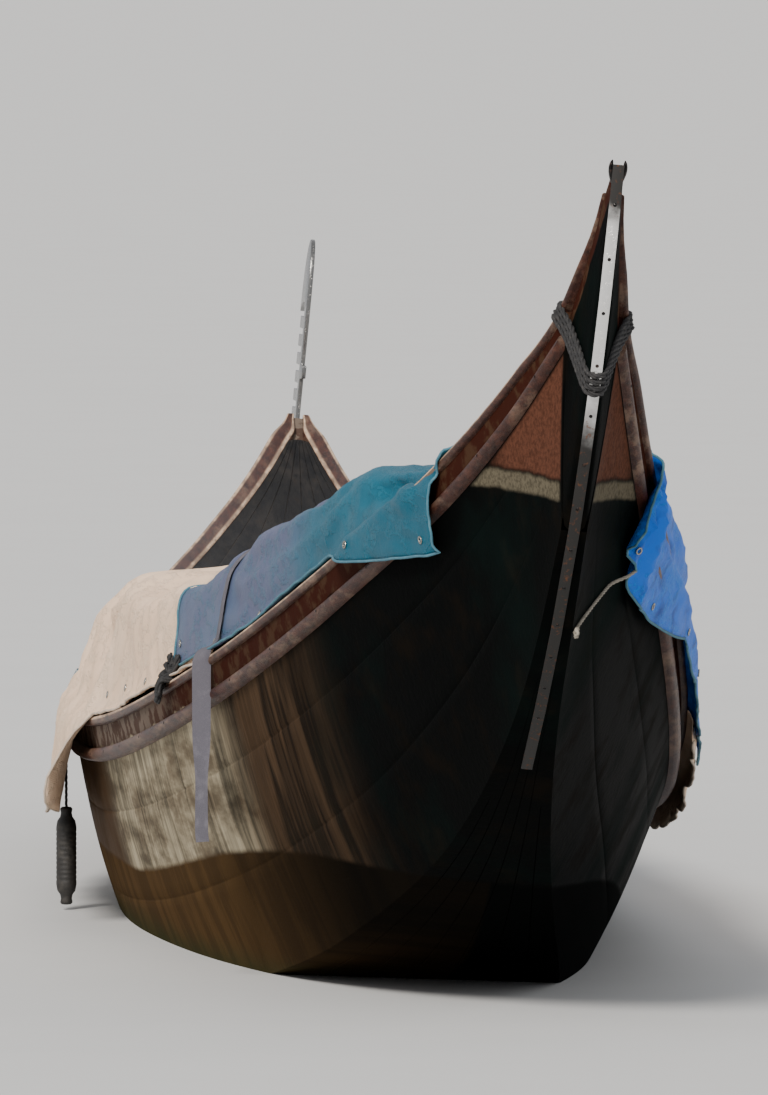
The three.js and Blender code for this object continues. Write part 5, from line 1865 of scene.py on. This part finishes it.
@dataclass
class Ropework:
    """The lashing round the stern, the hank on the port rail and the line that ties the blue cover down."""

    form: HullForm
    finishes: Finishes
    turns: int = 4
    lashing_radius: float = 0.0065
    lashing_at: tuple[float, float] = (-5.19, 1.60)  # where the turns are centred
    lashing_tilt: float = math.radians(34)
    per_turn: int = 72  # points round one turn of the lashing
    lashing_pitch: float = 2.15  # from one turn to the next, in radii
    hank_y: float = -2.42
    hank_radius: float = 0.0075
    hank_loops: int = 7
    hank_drop: float = 0.030
    hank_up: float = 0.062  # how far up the cover it reaches
    tie_radius: float = 0.004
    tie_foot: tuple[float, float, float] = (0.020, -4.92, 0.930)
    knot_turns: int = 3

    def build(self) -> list[Object]:
        """All the rope pieces."""
        return [self.stern_lashing(), self.rail_hank(), self.cover_tie()]

    def stern_lashing(self) -> Object:
        """Turns of dark rope round the stern, over its rails and its iron."""
        sides = [f"{kind}_{side.label}" for side in Side for kind in ("planks", "rail")]
        tree = surface_of("stern_post", "stern_band", "deck_aft", *sides)
        along = np.array([0.0, math.cos(self.lashing_tilt), math.sin(self.lashing_tilt)])
        normal = np.array([0.0, -math.sin(self.lashing_tilt), math.cos(self.lashing_tilt)])
        path = []
        for k in range(self.turns * self.per_turn):
            angle = 2 * math.pi * k / self.per_turn
            climbed = (k / self.per_turn - self.turns / 2) * self.lashing_radius * self.lashing_pitch
            centre = np.array([0.0, *self.lashing_at]) + normal * climbed
            out = math.cos(angle) * along + math.sin(angle) * np.array([1.0, 0.0, 0.0])
            hit = met(tree, centre + out * 0.6, -out, 0.6)
            path.append((centre, out, 0.03 if hit is None else np.dot(hit - centre, out)))
        taut = np.array([reach for *_, reach in path])
        for _ in range(40):  # a rope spans the hollows between the corners that it lies on
            step = 2 * math.pi / self.per_turn
            bridged = 2 * taut[:-2] * taut[2:] * math.cos(step) / np.maximum(taut[:-2] + taut[2:], 1e-6)
            taut[1:-1] = np.maximum(taut[1:-1], bridged)
        points = np.array([c + out * (reach + self.lashing_radius) for (c, out, _), reach in zip(path, taut)])
        made = rope("stern_lashing", afloat(points), self.lashing_radius)
        return settle(made, self.finishes.dark_rope, "black_paint")

    def rail_hank(self) -> Object:
        """A hank of dark rope that lies on the covers' edge and hangs over the port rail."""
        tree = surface_of("cream_cover", "blue_cover", "rail_port")
        inner, outer, _, high = self.form.rail(Side.PORT, [self.hank_y])[0]
        reach = (-(outer + 0.004), -(inner - 0.035))
        r = self.hank_radius
        knots = []
        for k in range(self.hank_loops):
            y = self.hank_y + (k - self.hank_loops / 2) * r * 1.8
            drop = self.hank_drop + 0.018 * math.sin(2.1 * k)
            top = self.hank_up * (0.70 + 0.30 * math.cos(2.6 * k))
            lift = r * (1.1 + 0.7 * (k % 2))
            slant = r * 2.4 * math.sin(1.3 * k + 0.5)
            knots += [self._beside(tree, reach, y + slant * part, high + top * part, lift) for part in (0.35, 0.8, 1.0)]
            knots += [self._beside(tree, reach, y + slant + r * 1.6, high + top * part, lift) for part in (0.9, 0.35)]
            knots += [(-(outer + r * 1.2), y + r * 1.4, high), (-(outer + r * 2.2), y + r * 0.6, high - drop)]
            knots += [(-(outer + r * 2.2), y - r * 0.8, high - drop), (-(outer + r * 1.4), y - r * 0.6, high + r * 0.3)]
        for k in range(3):  # the turns that bind it
            for angle in circle(8):
                y, z = self.hank_y + math.sin(angle) * r * 2.6, high + r * (1.6 + 1.7 * k)
                x, *_ = self._beside(tree, reach, y, z, r * (2.2 + 1.2 * math.cos(angle)))
                knots.append((x, y, z))
        knots = np.array(knots)
        path = smooth(range(len(knots)), knots, np.linspace(0, len(knots) - 1, len(knots) * 9))
        return settle(rope("rail_hank", afloat(path), r), self.finishes.dark_rope, "black_paint")

    @staticmethod
    def _beside(
        tree: BVHTree, reach: tuple[float, float], y: float, z: float, lift: float
    ) -> tuple[float, float, float]:
        """The upright point that lies a lift to port of the first thing met at a height, within a reach."""
        hit = met(tree, (-2.0, y, z), (1.0, 0.0, 0.0))
        x = reach[1] if hit is None else min(max(float(hit[0]), reach[0]), reach[1])
        return (x - lift, y, z)

    def cover_tie(self) -> Object:
        """The light line from the blue cover's starboard corner to the foot of the stern."""
        cover = bpy.data.objects["blue_cover"]
        points = upright(np.array([v.co[:] for v in cover.data.vertices]))
        aft = points[(points[:, 1] < points[:, 1].min() + 0.10) & (points[:, 0] > 0.1)]
        corner = aft[aft[:, 2].argmin()]
        foot = np.array(self.tie_foot)
        tree = surface_of("planks_starboard", "stern_post")
        path = []
        for t in np.linspace(0.0, 1.0, 24):
            place = corner + t * (foot - corner)
            hit = met(tree, place + (0.5, 0.0, 0.0), (-1.0, 0.0, 0.0), 0.7)
            if hit is not None:
                place[0] = max(place[0] if t < 0.15 else 0.0, hit[0] + self.tie_radius * 1.2)
            path.append(place)
        path = eased(np.array(path), 3)
        turns = np.linspace(0.0, self.knot_turns * 2 * math.pi, 12 * self.knot_turns)
        size = self.tie_radius * (2.6 - 1.2 * turns / turns[-1])
        out = self.tie_radius * (0.4 + 1.5 * np.sin(turns * 1.5) ** 2)
        knot = path[-1] + np.stack([out, np.cos(turns) * size - size[0], np.sin(turns) * size], axis=1)
        path = np.concatenate([path, knot[1:]])
        made = rope("cover_tie", afloat(path), self.tie_radius)
        return settle(made, self.finishes.light_rope, "black_paint")


# ---------------------------------------------------------------- the stage


@dataclass
class Stage:
    """The floor at the waterline, the studio light and the camera at the photo's place."""

    reach: float = 1300.0  # half the floor's side
    pale: tuple[Colour, Colour] = ((0.58, 0.58, 0.57), (0.62, 0.62, 0.61))
    sky: Colour = (0.94, 0.95, 0.98)
    sky_strength: float = 0.76
    sun: Colour = (1.0, 0.95, 0.89)
    sun_strength: float = 4.2
    sun_wide: float = math.radians(14)
    eye: tuple[float, float, float] = (-2.696, -41.840, 2.5575)
    yaw: float = 3.181
    aim: tuple[float, float] = (28 / 3000, -117 / 3000)
    lens: float = 542.5
    sun_from: tuple[float, float, float] = (-0.30, -0.80, 0.62)

    def build(self) -> None:
        """Adds the floor, lights and camera."""
        self.floor()
        self.lights()
        self.camera()

    def floor(self) -> None:
        """A plain pale floor."""
        r = self.reach
        piece = mesh_piece("floor", np.array([(-r, -r, 0), (r, -r, 0), (r, r, 0), (-r, r, 0)]), [(0, 1, 2, 3)])
        material = bpy.data.materials.new("pale floor")
        material.use_nodes = True
        w = Wiring(material.node_tree)
        surface = material.node_tree.nodes["Principled BSDF"]
        place = w.node("ShaderNodeTexCoord").outputs["Object"]
        tone = w.mix(w.noise(place, 1.5, 3.0), *self.pale)
        material.node_tree.links.new(tone, surface.inputs["Base Color"])
        surface.inputs["Roughness"].default_value = 0.7
        piece.data.materials.append(material)

    def lights(self) -> None:
        """A pale sky all round and one broad soft light."""
        world = bpy.data.worlds.new("studio")
        world.use_nodes = True
        ground = world.node_tree.nodes["Background"]
        ground.inputs["Color"].default_value = (*self.sky, 1.0)
        ground.inputs["Strength"].default_value = self.sky_strength
        bpy.context.scene.world = world
        light = bpy.data.lights.new("broad light", "SUN")
        light.energy, light.angle, light.color = self.sun_strength, self.sun_wide, self.sun
        lamp = in_scene("broad light", light)
        lamp.rotation_mode = "QUATERNION"
        lamp.rotation_quaternion = Vector(self.sun_from).to_track_quat("Z", "Y")

    def camera(self) -> None:
        """The photo's viewpoint, framed on this boat."""
        yaw = math.radians(self.yaw)
        ahead = np.array([math.sin(yaw), math.cos(yaw), 0.0])
        right = np.array([math.cos(yaw), -math.sin(yaw), 0.0])
        look = ahead + right * self.aim[0] + np.array([0.0, 0.0, self.aim[1]])
        lens = bpy.data.cameras.new("photo view")
        lens.lens, lens.sensor_width, lens.clip_end = self.lens, 36.0, 4000.0
        eye = in_scene("photo view", lens)
        eye.location = self.eye
        eye.rotation_mode = "QUATERNION"
        eye.rotation_quaternion = Vector(look).to_track_quat("-Z", "Y")
        bpy.context.scene.camera = eye


def write_sizes() -> None:
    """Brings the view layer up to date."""
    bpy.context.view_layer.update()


def main() -> None:
    """Builds the boat in order: stage, hull, inside, covers and small pieces."""
    logging.basicConfig(level=logging.INFO, format="%(name)s: %(message)s")
    Stage().build()
    form = HullForm.read()
    finishes = Finishes()
    studs = StudTrees()
    for maker in (
        Planking(form, finishes),
        Heads(finishes, studs=studs),
        Edging(form, finishes, studs),
        Decks(form, finishes),
        Inside(finishes),
        Covers(form, finishes, studs),
        Strap(form, finishes),
        Fender(finishes),
        Cushion(finishes),
        Ropework(form, finishes),
    ):
        made = maker.build()
        for piece in made if isinstance(made, list) else [made]:
            log.info("%s: %d faces", piece.name, len(piece.data.polygons))
    write_sizes()


if __name__ == "__main__":
    main()
